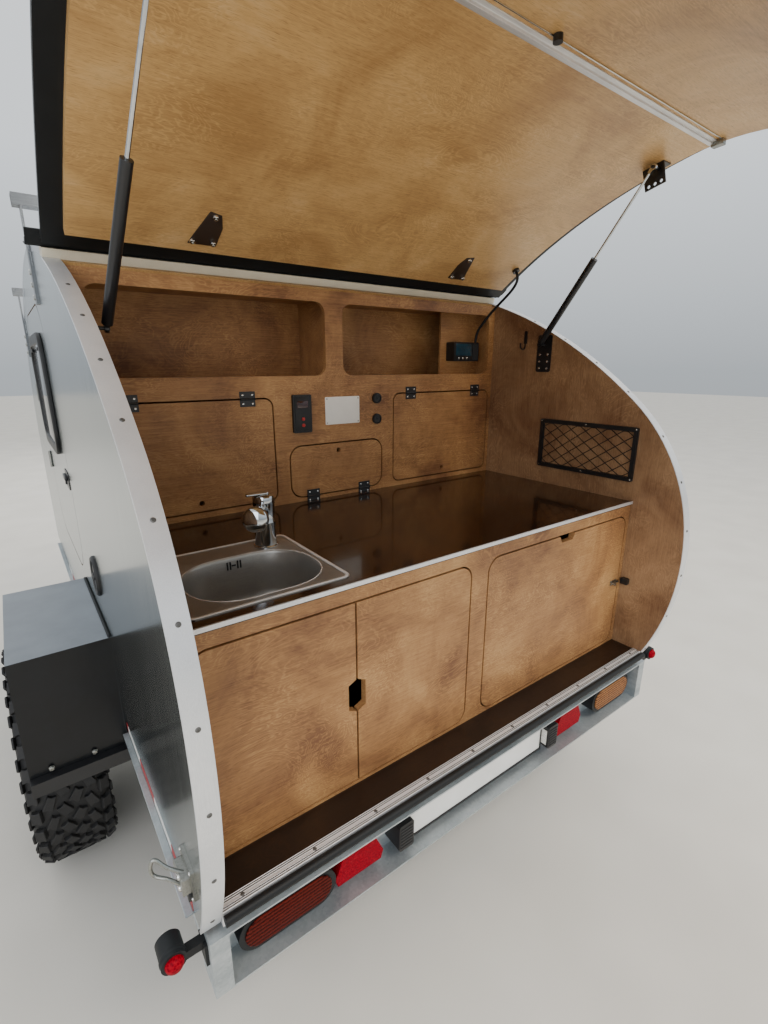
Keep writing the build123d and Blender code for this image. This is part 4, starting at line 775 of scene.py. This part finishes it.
def hatch_lining_fittings():
    """Hatch: two strap plates with bolts, and the cross profile with its lock rod and ends."""
    outline = [(-37, -53), (35, -53), (39, 8), (28, 46), (-2, 53)]
    heading, lining_r = 69.4, 1802
    plates = []
    bolts = []
    for x, mirror in ((-436, 1), (461, -1)):
        plate = slab([(mirror * a, b) for a, b in outline], 3.0, 1.0)
        plates.append(put(plate, on_lining(x, heading, 0.2)))
        for a, b in ((-27, -43), (25, -43), (13, 40)):
            bolts.append(on_lining(x + mirror * a, heading + math.degrees(-b / lining_r), 3.2))
    finished(together(*plates), "hatch_strap_plates", bronze_powder, "hatch")
    screws("hatch_strap_bolts", bolts, 8.0, 6.5, "hatch")
    half = 735.0
    section = [(-13, 0), (13, 0), (13, 2.5), (5, 3.5), (4.5, 8.5), (-4.5, 8.5), (-5, 3.5), (-13, 2.5)]
    profile = slab(section, 2 * half, 0.4, 1)
    put(profile, facing(Vector((-half / 1000, 0.0, 0.0)), (1, 0, 0), (0, 1, 0)))
    put(profile, on_lining(0.0, 42.4, 0.2))
    finished(profile, "hatch_cross_profile", sill_aluminium, "hatch")
    thin = slab(rounded(3.0, 3.0, 1.2, 2), 2 * half - 30)
    put(thin, facing(Vector((-half / 1000 + 0.015, 0.0, 0.0)), (1, 0, 0), (0, 1, 0)))
    put(thin, on_lining(0.0, 40.2, 1.8))
    finished(thin, "hatch_lock_rod", bolt_steel, "hatch")
    end = slab(rounded(22, 30, 3), 14.0, 1.5)
    ends = repeat(end, [on_lining(side * (half - 16), 41.2, 0.2) for _, side in SIDES])
    finished(ends, "hatch_profile_ends", zinc, "hatch")


hatch_lining_fittings()


def trim_screws():
    """Aluminium trims: flat screws along both side edges and the sill."""
    middle = (BODY_HALF + INNER_HALF) / 2
    pitch = 157.0
    margin = 3.0
    spots = []
    for _, side in SIDES:
        heading = OUTLINE_HEADING + margin
        while heading < ROOF_START - margin:
            spots.append(on_edge(side * middle, heading, -0.3))
            radius = [r for end, r in OUTLINE_ARCS if heading <= end][0]
            heading += math.degrees(pitch / radius)
    spots += [upward(-701 + 156 * i, 13.5, 1.8) for i in range(10)]
    screws("trim_screws", spots, 4.4, 1.7, material=screw_steel)


def sill_ribs():
    """Bright ribs along the sill, with dark strips of painted shade in the grooves between them."""
    # columns: rear edge, width, top
    rows = ((0.4, 2.2, 3.0), (5.4, 1.8, 2.5), (9.6, 1.4, 2.4), (16.2, 1.4, 2.4), (20.4, 1.8, 2.5),
            (24.6, 1.4, 2.8))
    ribs = [bar((-745.5, y, 1.8), (745.5, y + wide, top), 0.4, 1) for y, wide, top in rows]
    finished(together(*ribs), "sill_ribs", sill_aluminium)
    # painted shade: dark strips lie in the grooves between the ribs
    grooves = [bar((-745.0, y, 1.7), (745.0, y + 2.4, 2.0), 0.1, 1) for y in (2.8, 7.2, 17.8, 22.2)]
    finished(together(*grooves), "sill_groove_shade", recess_shade)


trim_screws()
sill_ribs()


def flap_leaves():
    """Upper flaps: the hinges' moving leaves, with their screws."""
    outer = BULKHEAD_FRONT - 2.0
    fixed = []
    # columns: flap, its left and right ends, height of its hinged edge, side of the fixed leaf
    rows = (("upper_flap_left", -727, -244, 868, 1), ("upper_flap_centre", -189, 176, 543, -1),
            ("upper_flap_right", 234, 727, 868, 1))
    for name, x0, x1, edge, up in rows:
        leaves = []
        moving = []
        for middle in (x0 + 78, x1 - 78):
            ends = sorted((edge, edge - up * 20))
            leaves.append(bar((middle - 24, outer, ends[0]), (middle + 24, BULKHEAD_FRONT, ends[1]), 0.5, 1))
            for dx in (-15, 15):
                moving.append(rearward(middle + dx, outer, edge - up * 11))
                fixed.append(rearward(middle + dx, outer, edge + up * 15))
        finished(together(*leaves), name + "_leaves", black_powder, name)
        screws(name + "_screws", moving, 3.6, 1.8, name)
    screws("hinge_screws", fixed, 3.6, 1.8)


def bulkhead_fittings():
    """Blank label plate, the panel's display and buttons, and the socket caps."""
    face = BULKHEAD_FRONT
    label_x, label_z = 13, 821.5
    plate = put(slab(rounded(136, 91, 3), 1.6, 0.5), rearward(label_x, face, label_z))
    finished(plate, "label_plate", label_plate)
    corners = [rearward(label_x + dx, face - 1.5, label_z + dz) for dx in (-62, 62) for dz in (-39.5, 39.5)]
    screws("label_screws", corners, 3.0, 1.5)
    panel_x, front = -144, face - 10
    bezel = put(slab(rounded(54, 108, 4), 2.0, 0.8), rearward(panel_x, front, 818))
    finished(bezel, "panel_bezel", black_plastic)
    glass = put(slab(rounded(38, 22, 2), 0.8, 0.3), rearward(panel_x, front - 2, 848))
    finished(glass, "panel_display", red_display)
    buttons = repeat(turned([(5.5, 0), (5.5, 2.6), (4.6, 3.4), (1.0, 3.6)], 20),
                     [rearward(panel_x, front - 2, z) for z in (802, 782)])
    finished(buttons, "panel_buttons", red_button)
    cap = turned([(15.5, 0), (15.5, 2.2), (13.5, 3.0), (12.0, 3.0), (11.5, 1.2), (4.0, 1.0), (3.4, 2.6),
                  (1.0, 2.8)], 32)
    caps = repeat(cap, [rearward(154, face - 8, z) for z in (857, 785)])
    finished(caps, "socket_caps", black_plastic)


def charger_face():
    """Screen, three keys and cooling ribs of the charge controller in the right shelf."""
    front = BULKHEAD_FRONT + 35
    screen = put(slab(rounded(88, 46, 3), 1.2, 0.4), rearward(615, front, 1029))
    finished(screen, "charger_screen", blue_display)
    keys = repeat(turned([(4.2, 0), (4.2, 1.6), (3.2, 2.2), (0.8, 2.3)], 16),
                  [rearward(590 + 22 * i, front, 996) for i in range(3)])
    finished(keys, "charger_keys", bolt_steel)
    ribs = [bar((x, front - 2.4, 990), (x + 2.4, front + 1, 1053), 0.6, 1) for x in range(667, 694, 5)]
    finished(together(*ribs), "charger_ribs", black_plastic)


flap_leaves()
bulkhead_fittings()
charger_face()


def pocket_net():
    """Net pocket on the right wall: knotted cord in lozenges inside its frame."""
    y0, y1, z0, z1 = 126.5, 479.5, 606.5, 758.5
    middle = sideways(-1, 741.5, (y0 + y1) / 2, (z0 + z1) / 2)
    net = fresh(bpy.ops.mesh.primitive_grid_add, x_subdivisions=15, y_subdivisions=15, size=0.54,
                rotation=(0.0, 0.0, math.radians(45)))
    net.scale = (1.15, 0.80, 1.0)
    bpy.ops.object.transform_apply()
    open_mesh(net)
    half_y, half_z = (y1 - y0) / 2000, (z1 - z0) / 2000
    for where, normal in (((half_y, 0, 0), (1, 0, 0)), ((-half_y, 0, 0), (-1, 0, 0)),
                          ((0, half_z, 0), (0, 1, 0)), ((0, -half_z, 0), (0, -1, 0))):
        bpy.ops.mesh.select_all(action="SELECT")
        bpy.ops.mesh.bisect(plane_co=where, plane_no=normal, clear_outer=True, clear_inner=False)
    close_mesh()
    refined(net, "WIREFRAME", thickness=0.0038, use_even_offset=False, use_boundary=True, use_replace=True)
    for vert in net.data.vertices:
        u, v = vert.co.x / half_y, vert.co.y / half_z
        vert.co.z += 0.0035 * (1 - u * u) * (1 - v * v) - 0.0015
    put(net, middle)
    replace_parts(finished(net, "pocket_cord_net", cord_black, smooth=60.0), "pocket_net")
    corners = [sideways(-1, 738, y, z) for y in (119, 303, 487) for z in (599, 766)]
    screws("pocket_screws", corners, 3.2, 1.6)


pocket_net()


def strut_plate_screws():
    """Screws in the plates that carry the struts' feet."""
    spots = [sideways(-side, side * (INNER_HALF - 3), y, z) for _, side in SIDES
             for y in (494, 528) for z in (1008, 983, 958)]
    screws("strut_plate_screws", spots, 4.6, 2.2)


def flap_latch():
    """Slide bolt on the lower flap, which ends at the catch on the wall."""
    base = bar((680, 103.5, 231), (714, 107, 249), 0.8, 1)
    bolt = bar((676, 99.5, 236), (722, 104, 244), 1.6, 2)
    knob = put(turned([(5, 0), (4, 5), (5.5, 7), (5.0, 10), (1, 10.4)], 20), rearward(686, 100, 240))
    finished(together(base, bolt, knob), "flap_latch", zinc, "lower_flap")


strut_plate_screws()
flap_latch()


# Sink: width, depth and corner radius of its rim and of its oval bowl
RIM = (356, 355, 22)
BOWL = (300, 240, 105)


def on_rim_edge(point):
    """Whether a point of the flat sheet lies on the rim's outer edge."""
    x, y = abs(point.x) * 1000, abs(point.y) * 1000
    return x > RIM[0] / 2 - 0.5 or y > RIM[1] / 2 - 0.5 or (x > 165 and y > 165)


def on_bowl_edge(point):
    """Whether a point lies on the bowl's edge, from the bowl's middle."""
    x, y = abs(point.x) * 1000, abs(point.y) * 1000
    half_x, half_y, corner = BOWL[0] / 2, BOWL[1] / 2, BOWL[2]
    if x > half_x - corner and y > half_y - corner:
        from_corner = math.hypot(x - half_x + corner, y - half_y + corner)
        return corner - 1.5 < from_corner < corner + 0.6
    return abs(x - half_x) < 0.5 or abs(y - half_y) < 0.5


def sink():
    """Sink: one pressed sheet from the flat rim down into the bowl, its ridges and its waste."""
    x, y, top = -538.0, 312.0, COUNTER_TOP + 1.5
    bowl_x, bowl_y = 8.0, -30.0
    bowl = [(a + bowl_x, b + bowl_y) for a, b in rounded(*BOWL, 6)]
    shell = bridged(rounded(*RIM, 6), bowl)
    close_mesh()
    centre = Vector((bowl_x, bowl_y, 0.0)) / 1000
    open_mesh(shell)
    # the rim's outer edge turns down to the worktop
    pick_edges(on_rim_edge)
    bpy.ops.mesh.extrude_region_move(TRANSFORM_OT_translate={"value": (0.0, 0.0, -0.0015)})
    # the bowl: each step goes down and pulls in a little, more at the floor
    pick_edges(lambda middle: on_bowl_edge(middle - centre))
    for drop, pull in ((2.0, 0.988), (5.0, 0.985), (40.0, 0.985), (50.0, 0.98), (20.0, 0.96), (8.0, 0.90),
                       (3.0, 0.80), (0.6, 0.62)):
        bpy.ops.mesh.extrude_region_move(TRANSFORM_OT_translate={"value": (0.0, 0.0, -drop / 1000)})
        bpy.ops.transform.resize(value=(pull, pull, 1.0), center_override=tuple(centre))
    bpy.ops.mesh.edge_face_add()
    bpy.ops.mesh.inset(thickness=0.012)
    close_mesh()
    put(shell, Matrix.Translation(spot(x, y, top)))
    refined(shell, "SOLIDIFY", thickness=0.0010, offset=-1.0)
    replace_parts(finished(shell, "sink_bowl", stainless, smooth=50.0), "sink")
    # the ridge and the bowl's edge are near white, a painted highlight along the pressed edges
    ridge = frame_of(rounded(352, 351, 20, 6), rounded(338, 337, 14, 6), 1.8)
    put(softened(ridge, 0.8), Matrix.Translation(spot(x, y, top - 0.1)))
    finished(ridge, "sink_ridge", highlight_steel, smooth=50.0)
    lip = frame_of(rounded(304, 244, 107, 6), rounded(299, 239, 104.5, 6), 0.9)
    put(softened(lip, 0.4, 1), Matrix.Translation(spot(x + bowl_x, y + bowl_y, top - 0.2)))
    finished(lip, "sink_bowl_edge", highlight_steel, smooth=50.0)
    floor = Matrix.Translation(spot(x + bowl_x, y + bowl_y, top - 128.6))
    drain = turned([(42, 0.0), (42, 1.6), (36, 2.2), (30, 1.2), (28, 0.2)], 40, closed=True)
    put(drain, floor)
    finished(drain, "sink_drain", chrome)
    # the strainer takes the same dark fill, painted shade of the drain's opening below it
    plug = put(turned([(27, 0.1), (27, 0.8), (10, 1.4), (8, 4.0), (1, 4.6)], 32), floor)
    finished(plug, "sink_strainer", recess_shade)
    far = y + bowl_y + 116.5
    # the overflow's slots are dark bars of painted shade where its openings are
    slots = [bar((sx, far - 3, 497), (sx + 3.4, far + 3, 517), 1.2, 2) for sx in (-549, -542, -524, -517)]
    slots += [bar((-537, far - 3, 505), (-527, far + 3, 508.4), 1.2, 2)]
    finished(together(*slots), "sink_overflow", recess_shade)


def tap():
    """Tap: a tall round body with a short thick spout, and a lever on top that points left."""
    foot = spot(-432, 432, COUNTER_TOP + 1.5)
    body = turned([(31, 0), (31, 3), (27.5, 5), (26.5, 60), (27.5, 62), (27.5, 66), (26.5, 68), (26.5, 108),
                   (27.5, 110), (27.5, 126), (25, 131), (14, 134), (2, 134.5)], 40)
    put(body, Matrix.Translation(foot))
    way = Vector((-0.55, -0.83, 0.10)).normalized()
    across = way.cross(Vector((0, 0, 1))).normalized()
    spout = turned([(17, 12), (18, 60), (20, 88), (26, 94), (30, 101), (30, 113), (27.5, 119), (20, 123),
                    (8, 125), (1.5, 125.2)], 40)
    put(spout, facing(foot + Vector((0, 0, 0.090)), way, across))
    outline = [(12, -8), (12, 8), (0, 10), (-24, 8), (-44, 6), (-46, 0), (-44, -6), (-24, -8), (0, -10)]
    lever = put(slab(outline, 6.0, 2.4, 3), Matrix.Translation(foot + Vector((0, 0, 0.1335))))
    whole = finished(together(body, spout, lever), "sink_tap", chrome, smooth=40.0)
    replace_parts(whole, "tap")


sink()
tap()


def rear_lights():
    """Rear lights: lenses, plate frame, plate lamps' ribs and glasses, markers' lenses and bands."""
    for name, side in SIDES:
        x = side * 607
        shape = slab(rounded(196, 70, 34, 8), 5.0, 2.0, 3)
        put(shape, rearward(x, 14.5, -115))
        finished(shape, "lamp_lens_" + name, lamp_red if side < 0 else lamp_amber)
    plate_x, plate_z = -23.0, -105.0
    # columns: left, right, foot and top of each edge, from the plate's middle
    edges = ((-262, 262, 52, 58), (-262, 262, -60, -53), (-262, -257, -60, 58), (257, 262, -60, 58))
    frames = [bar((plate_x + x0, 23.5, plate_z + z0), (plate_x + x1, 29, plate_z + z1), 1.2, 2)
              for x0, x1, z0, z1 in edges]
    finished(together(*frames), "plate_frame", black_plastic)
    ribs = [bar((x - 19, -2.5, z), (x + 19, 1, z + 4), 1.0, 1)
            for x in (-308, 262) for z in range(-143, -80, 9)]
    finished(together(*ribs), "plate_lamp_ribs", black_plastic)
    glasses = [bar((x, 6, -138), (x + 2, 26, -88), 0.8, 2) for x in (-285.6, 237.6)]
    finished(together(*glasses), "plate_lamp_glasses", lamp_clear)
    marker_x, marker_z = 834, -40
    dome = [(16.5, 0), (16.5, 3), (15, 8), (11, 12), (6, 14), (1, 14.6)]
    backs = [rearward(side * marker_x, 0.5, marker_z) for _, side in SIDES]
    finished(repeat(turned(dome), backs), "marker_red_lenses", red_prism)
    fronts = [forward(side * marker_x, 45.5, marker_z) for _, side in SIDES]
    finished(repeat(turned(dome), fronts), "marker_white_lenses", lamp_clear)
    band = turned([(22.9, 6), (23.6, 8), (23.6, 12), (22.9, 14), (22.2, 10)], 40, closed=True)
    bands = repeat(band, [forward(side * marker_x, 0, marker_z) for _, side in SIDES])
    finished(bands, "marker_bands", black_rubber)


rear_lights()


def toggle_latches():
    """Toggle latches beside the hatch's foot: side plates, wire bail and hook."""
    for name, side in SIDES:
        face = BODY_HALF + 6
        x0, x1 = sorted((side * face, side * (face + 13)))
        cheeks = [bar((x0, 24, z), (x1, 62, z + 2.5), 0.8, 1) for z in (69.5, 107.5)]
        handle = put(slab(rounded(52, 30, 11, 4), 2.5, 1.0), sideways(side, side * (face + 12), 48, 90))
        pin = put(turned([(4, -21), (4, 21)], 16), upward(side * (face + 6), 30, 90))
        latch = together(*cheeks, pin, handle)
        finished(latch, "toggle_latch_" + name, zinc)
        # the bail stands out from its pin as a three-cornered ring
        bends = [(face + 4, 30, 72), (face + 27, 36, 104), (face + 52, 55, 108), (face + 54, 55, 132),
                 (face + 46, 55, 148), (face + 28, 42, 120), (face + 4, 30, 108)]
        bail = wire([spot(side * x, y, z) for x, y, z in bends], 3.4)
        finished(bail, "latch_bail_" + name, zinc, smooth=60.0)
        rivets = [sideways(side, side * (face + 14), 34, z) for z in (76, 102)]
        screws("latch_rivets_" + name, rivets, 7.0, 4.0)
        claw = slab([(-9, -10), (9, -10), (9, 4), (3, 14), (-3, 14), (-9, 4)], 7.0, 1.5)
        put(claw, sideways(side, side * face, 22, 66))
        finished(claw, "latch_claw_" + name, black_powder)
        corners = [sideways(side, side * face, 41 + dy, 91 + dz) for dy in (-29, 29) for dz in (-29, 29)]
        screws("latch_screws_" + name, corners, 3.6, 2.2)


def wall_marks():
    """Side walls: a folded lip and reflective tape along the foot, and a round inlet port on the left."""
    pitch = 150
    for name, side in SIDES:
        for shade, material, slot, first in (("red", red_tape, "red_reflector", 0),
                                             ("white", white_tape, "plate_white", 1)):
            x0, x1 = sorted((side * (BODY_HALF - 0.4), side * (BODY_HALF + 0.6)))
            strips = [bar((x0, y, -27), (x1, y + pitch, -6), 0.2, 1)
                      for y in range(60 + pitch * first, 60 + pitch * 14, pitch * 2)]
            finished(together(*strips), f"side_tape_{shade}_{name}", material)
        x0, x1 = sorted((side * BODY_HALF, side * (BODY_HALF + 15)))
        lips = [bar((x0, y0, -35), (x1, y1, -31), 1.0, 1) for y0, y1 in ((60, 670), (1392, 2640))]
        finished(together(*lips), "wall_foot_lips_" + name, galvanised)
    port = turned([(58, 0), (58, 4), (54, 9), (46, 8), (42, 4), (42, 0)], 48, closed=True)
    lid = turned([(42.5, 0), (42.5, 2.5), (38, 5.0), (12, 6.0), (10, 10.0), (2.5, 10.5)], 40)
    both = together(lid, port)
    put(both, sideways(-1, -BODY_HALF, 815, 398))
    finished(both, "inlet_port", black_plastic)


toggle_latches()
wall_marks()


def fender_bolts():
    """Fenders: bolts through their rear plates."""
    spots = [rearward(side * x, 668.5, -50) for _, side in SIDES for x in (870, 970)]
    heads = turned([(7.5, 0), (7.5, 1.2), (6.4, 1.4), (6.4, 5.2), (5.6, 6.0), (1, 6.1)], 6)
    finished(repeat(heads, spots), "fender_bolts", zinc)


fender_bolts()


def fender_joint_line():
    """Black cord along the line where each fender's sheet meets the wall, for the dark line there."""
    # corners of the fender's outline: y and z
    corners = [(676.0, -60.0), (719.5, 252.0), (1214.5, 252.0), (1386.0, -60.0)]
    for name, side in SIDES:
        x = side * (BODY_HALF + 4)
        path = []
        for (y0, z0), (y1, z1) in zip(corners, corners[1:]):
            path += [(x, y0 + (y1 - y0) * share, z0 + (z1 - z0) * share) for share in (0.0, 0.03, 0.97)]
        path.append((x, *corners[-1]))
        joint_line = wire([spot(*point) for point in path], 4.0)
        finished(joint_line, "fender_joint_line_" + name, black_rubber, smooth=60.0)


fender_joint_line()


def lug_outline(long, wide):
    """Outline of a tread block with cut corners, of a length and a width."""
    x, y = long / 2, wide / 2
    return [(-x, -y + 4), (-x + 5, -y), (x, -y + 2), (x - 4, 0), (x, y - 3), (-x + 3, y), (-x + 6, 2)]


def wheel_place(side):
    """Middle of the wheel's inner face, with z along the axle and outwards."""
    return facing(spot(side * TYRE_IN, WHEEL_Y, TYRE_R - LEDGE), (side, 0, 0), (0, 1, 0))


def tyre(name, side):
    """Tyre: a carcass with ribbed walls, and rows of blocks for the all-terrain tread."""
    # radius, and depth from the tyre's face
    wall = [(190.5, 17.5), (205.5, 15.0), (212.0, 8.5), (226.0, 4.6), (229.0, 2.8), (235.0, 2.4),
            (238.0, 3.6), (262.0, 1.6), (284.0, 1.4), (287.0, 0.4), (293.0, 0.4), (296.0, 1.6),
            (306.0, 3.4), (320.0, 9.0), (331.0, 22.0), (337.0, 36.0), (340.0, 62.0)]
    carcass = turned(wall + [(r, TYRE_WIDE - d) for r, d in reversed(wall)], 96, closed=True)
    blocks = []
    count = 34
    deep = 13.0
    out = Matrix(((0, 0, 1), (1, 0, 0), (0, 1, 0))).to_4x4()
    # columns: distance from the tyre's inner face, top radius, width, length, turn, step, tilt
    rows = [
        (22.0, 345.0, 27.0, 42.0, 0.0, 0.5, 26.0), (52.0, 349.0, 25.0, 44.0, 22.0, 0.0, 0.0),
        (85.0, 349.6, 27.0, 40.0, -30.0, 0.55, 0.0), (116.0, 349.6, 27.0, 40.0, 30.0, 0.05, 0.0),
        (148.0, 349.0, 25.0, 44.0, -22.0, 0.6, 0.0), (178.0, 345.0, 27.0, 42.0, 0.0, 0.1, -26.0),
    ]
    for across, top, wide, long, skew, step, tilt in rows:
        stand = Matrix.Translation(((top - deep) / 1000, 0.0, across / 1000)) @ out
        lean = Matrix.Rotation(math.radians(tilt), 4, "X") @ Matrix.Rotation(math.radians(skew), 4, "Z")
        places = [Matrix.Rotation(2 * math.pi * (i + step) / count, 4, "Z") @ stand @ lean
                  for i in range(count)]
        blocks.append(repeat(slab(lug_outline(long, wide), deep, 1.2, 1), places))
    shoulder = slab(rounded(30.0, 34.0, 4.0, 2), 6.0, 1.0, 1)
    places = []
    for i in range(count):
        # columns: distance from the inner face, lean, step, turn about the block's length
        for across, lean, step, flip in ((8.0, 24.0, 0.0, math.pi), (TYRE_WIDE - 8.0, -24.0, 0.6, 0.0)):
            turn = Matrix.Rotation(2 * math.pi * (i + step) / count, 4, "Z")
            stand = Matrix.Translation((0.3125, 0.0, across / 1000))
            lying = Matrix.Rotation(math.radians(lean), 4, "Y") @ Matrix.Rotation(flip, 4, "X")
            places.append(turn @ stand @ lying)
    blocks.append(repeat(shoulder, places))
    whole = put(together(*blocks, carcass), wheel_place(side))
    finished(whole, "tyre_tread_" + name, tyre_rubber, "wheel_" + name, 30.0)
    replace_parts(whole, "tyre_" + name)


def wheel_fittings(name, side):
    """Wheel: five nuts, a hub cap and a valve."""
    outer = wheel_place(side)
    nut = turned([(10.5, 0), (10.5, 12), (9.0, 14), (4.0, 14.2), (3.6, 18), (1.0, 18.4)], 6)
    nuts = repeat(nut, [outer @ Matrix.Rotation(math.radians(72 * i + 18), 4, "Z") @
                        Matrix.Translation((0.056, 0.0, 0.1285)) for i in range(5)])
    finished(nuts, "wheel_nuts_" + name, bolt_steel, "wheel_" + name)
    cap = turned([(32, 0), (32, 10), (29, 16), (20, 19), (8, 20), (1, 20.2)], 40)
    put(cap, outer @ Matrix.Translation((0.0, 0.0, 0.1345)))
    finished(cap, "hub_cap_" + name, wheel_paint, "wheel_" + name)
    valve = turned([(4.5, 0), (4.0, 14), (3.0, 15), (3.0, 24), (1.0, 25)], 14)
    put(valve, outer @ Matrix.Rotation(math.radians(54), 4, "Z") @ Matrix.Translation((0.160, 0.0, 0.121)))
    finished(valve, "wheel_valve_" + name, black_rubber, "wheel_" + name)


for side_name, side_sign in SIDES:
    tyre(side_name, side_sign)
    wheel_fittings(side_name, side_sign)


def side_windows(name, side):
    """Side doors: window frame with its pane and stays, and a flush handle."""
    middle = sideways(side, side * BODY_HALF, 1550, 870)
    door = "door_" + name
    ring = frame_of(rounded(544, 404, 92, 8), rounded(472, 332, 60, 8), 12.5)
    put(softened(ring, 3.0, 3), middle)
    finished(ring, "window_frame_" + name, black_plastic, door)
    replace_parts(ring, "door_window_" + name)
    pane = slab(rounded(478, 338, 62, 8), 5.0, 1.5, 2)
    put(pane, middle @ Matrix.Translation((0.0, 0.0, 0.004)))
    finished(pane, "window_pane_" + name, acrylic, door)
    stays = repeat(slab(rounded(46, 12, 3), 3.0, 1.0),
                   [middle @ Matrix.Translation((dx, 0.150, 0.0095)) for dx in (-0.16, 0.16)])
    finished(stays, "window_stays_" + name, black_plastic, door)
    plate = slab(rounded(96, 62, 10, 4), 2.5, 1.0)
    grip = put(slab(rounded(70, 18, 6, 4), 9.0, 2.5, 3), Matrix.Translation((0.0, 0.008, 0.002)))
    lock = put(turned([(7, 0), (7, 5), (6, 6), (1, 6.2)], 20), Matrix.Translation((-0.030, -0.016, 0.001)))
    handle = together(lock, grip, plate)
    put(handle, sideways(side, side * BODY_HALF, 1240, 600))
    finished(handle, "door_handle_" + name, black_powder, door)


for side_name, side_sign in SIDES:
    side_windows(side_name, side_sign)


def roof_bar_fittings():
    """Roof bars: end caps, and bolts through the legs."""
    caps = []
    bolts = []
    # columns: y of the bar, height of its top
    for y, top in ((1130, 1416.4), (2080, 1281.7)):
        for _, side in SIDES:
            caps.append(sideways(side, side * 803.5, y, top - 15))
            for down in (195, 228, 262):
                bolts.append(sideways(side, side * 789, y, top - down))
    cap = slab(rounded(39, 29, 5, 3), 2.5, 1.0)
    finished(repeat(cap, caps), "roof_bar_caps", black_plastic)
    head = turned([(7.5, 0), (7.5, 4.5), (6.6, 5.5), (1, 5.6)], 6)
    finished(repeat(head, bolts), "roof_bar_bolts", bolt_steel)


roof_bar_fittings()


def drawbar_fittings():
    """Drawbar: coupling handle and bolts, the jockey clamp's lever and the jockey wheel's hub."""
    deck = -110.0
    # columns: y and height above the deck
    grip = [(3775, 34), (3790, 62), (3830, 74), (3872, 70), (3890, 50)]
    handle = wire([spot(0, y, deck + up) for y, up in grip], 9.0)
    finished(handle, "coupling_handle", black_plastic, smooth=60.0)
    bolts = [upward(x, y, deck + 6) for x in (-55, 55) for y in (3610, 3720)]
    head = turned([(11, 0), (11, 1.6), (9.5, 1.8), (9.5, 8.5), (8.4, 9.6), (1, 9.7)], 6)
    finished(repeat(head, bolts), "coupling_bolts", zinc)
    # columns: x, y and height above the deck
    arm = [(64, 3330, 27), (84, 3330, 30), (96, 3318, 42), (100, 3280, 50), (100, 3256, 50)]
    lever = wire([spot(x, y, deck + up) for x, y, up in arm], 6.0)
    finished(lever, "jockey_clamp_lever", zinc, smooth=60.0)
    hub = turned([(26, -30), (26, -27), (20, -27), (20, 27), (26, 27), (26, 30)], 28)
    put(hub, facing(spot(0, 3285, 100 - LEDGE), (1, 0, 0), (0, 1, 0)))
    finished(hub, "jockey_wheel_hub", zinc, "jockey_wheel")


drawbar_fittings()


def mattress():
    """Mattress: a crowned and tufted pad with rounded edges, on the cabin's floor."""
    low, high = (Vector(corner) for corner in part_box("mattress"))
    size, middle = high - low, (high + low) / 2
    pad = fresh(bpy.ops.mesh.primitive_cube_add, size=1.0, location=middle, scale=size)
    open_mesh(pad)
    bpy.ops.mesh.subdivide(number_cuts=11)
    close_mesh()
    for vert in pad.data.vertices:
        u = (vert.co.x - middle.x) / (size.x / 2)
        v = (vert.co.y - middle.y) / (size.y / 2)
        w = (vert.co.z - middle.z) / (size.z / 2)
        # the sides pull in at mid-height between the corners, and the top swells and dimples
        if abs(w) < 0.95:
            pull = 0.006 * (1 - w * w)
            vert.co.x -= pull * u ** 5
            vert.co.y -= pull * v ** 5
        if w > 0.9:
            sag = 0.012 * (max(abs(u), abs(v)) ** 6)
            tuft = 0.007 * (math.cos(math.pi * 3 * u) ** 2) * (math.cos(math.pi * 4 * v) ** 2)
            vert.co.z -= sag + tuft
    softened(pad, 12.0, 3)
    refined(pad, "SUBSURF", levels=1, render_levels=1)
    finished(pad, "cabin_mattress", mattress_cloth, smooth=60.0)
    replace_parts(pad, "mattress")


mattress()

# Floor and light
ground = fresh(bpy.ops.mesh.primitive_plane_add, size=60.0)
ground.name = "studio_floor"
paper, tree, place = start("pale studio floor", {"Roughness": 0.9})
cloudy = add(tree, "TexNoise", {"Vector": place, "Scale": per_metre(333.3), "Detail": 2.0})
tint = add(tree, "ValToRGB", {"Fac": cloudy}, stops=[(0.3, "#cdc9c0"), (0.7, "#d5d1c8")])
tree.links.new(tint, tree.nodes["Principled BSDF"].inputs["Base Color"])
ground.data.materials.append(paper)

world = bpy.data.worlds.new("studio")
world.use_nodes = True
bpy.context.scene.world = world
tree = world.node_tree
way = add(tree, "TexCoord", out="Generated")
height = add(tree, "SeparateXYZ", {"Vector": way}, out="Z")
lift = add(tree, "MapRange", {"Value": height, "From Min": -0.4, "From Max": 1.0})
sky = add(tree, "ValToRGB", {"Fac": lift},
          stops=[(0.0, "#8f8d86"), (0.28, "#aab0b5"), (0.5, "#e6ecf1"), (1.0, "#ffffff")])
tree.links.new(sky, tree.nodes["Background"].inputs["Color"])
tree.nodes["Background"].inputs["Strength"].default_value = 1.25


def soft_light(name, location, aim, size, power, tint):
    """Square soft light at a place, facing the point that it is aimed at."""
    bpy.ops.object.select_all(action="DESELECT")
    bpy.ops.object.light_add(type="AREA", location=location)
    lamp = bpy.context.object
    lamp.name = name
    lamp.data.shape = "SQUARE"
    lamp.data.size = size
    lamp.data.energy = power
    lamp.data.color = colour(tint)[:3]
    lamp.rotation_euler = (Vector(aim) - Vector(location)).to_track_quat("-Z", "Y").to_euler()


soft_light("key_light", (1.5, -6.0, 7.0), (0.0, -1.6, 0.4), 3.5, 430.0, "#fff6e8")
soft_light("fill_light", (-4.5, -5.0, 3.0), (-0.6, -1.0, 0.7), 4.0, 150.0, "#f2f6ff")
soft_light("front_light", (2.0, 6.5, 5.0), (0.0, 0.8, 0.8), 4.0, 240.0, "#ffffff")
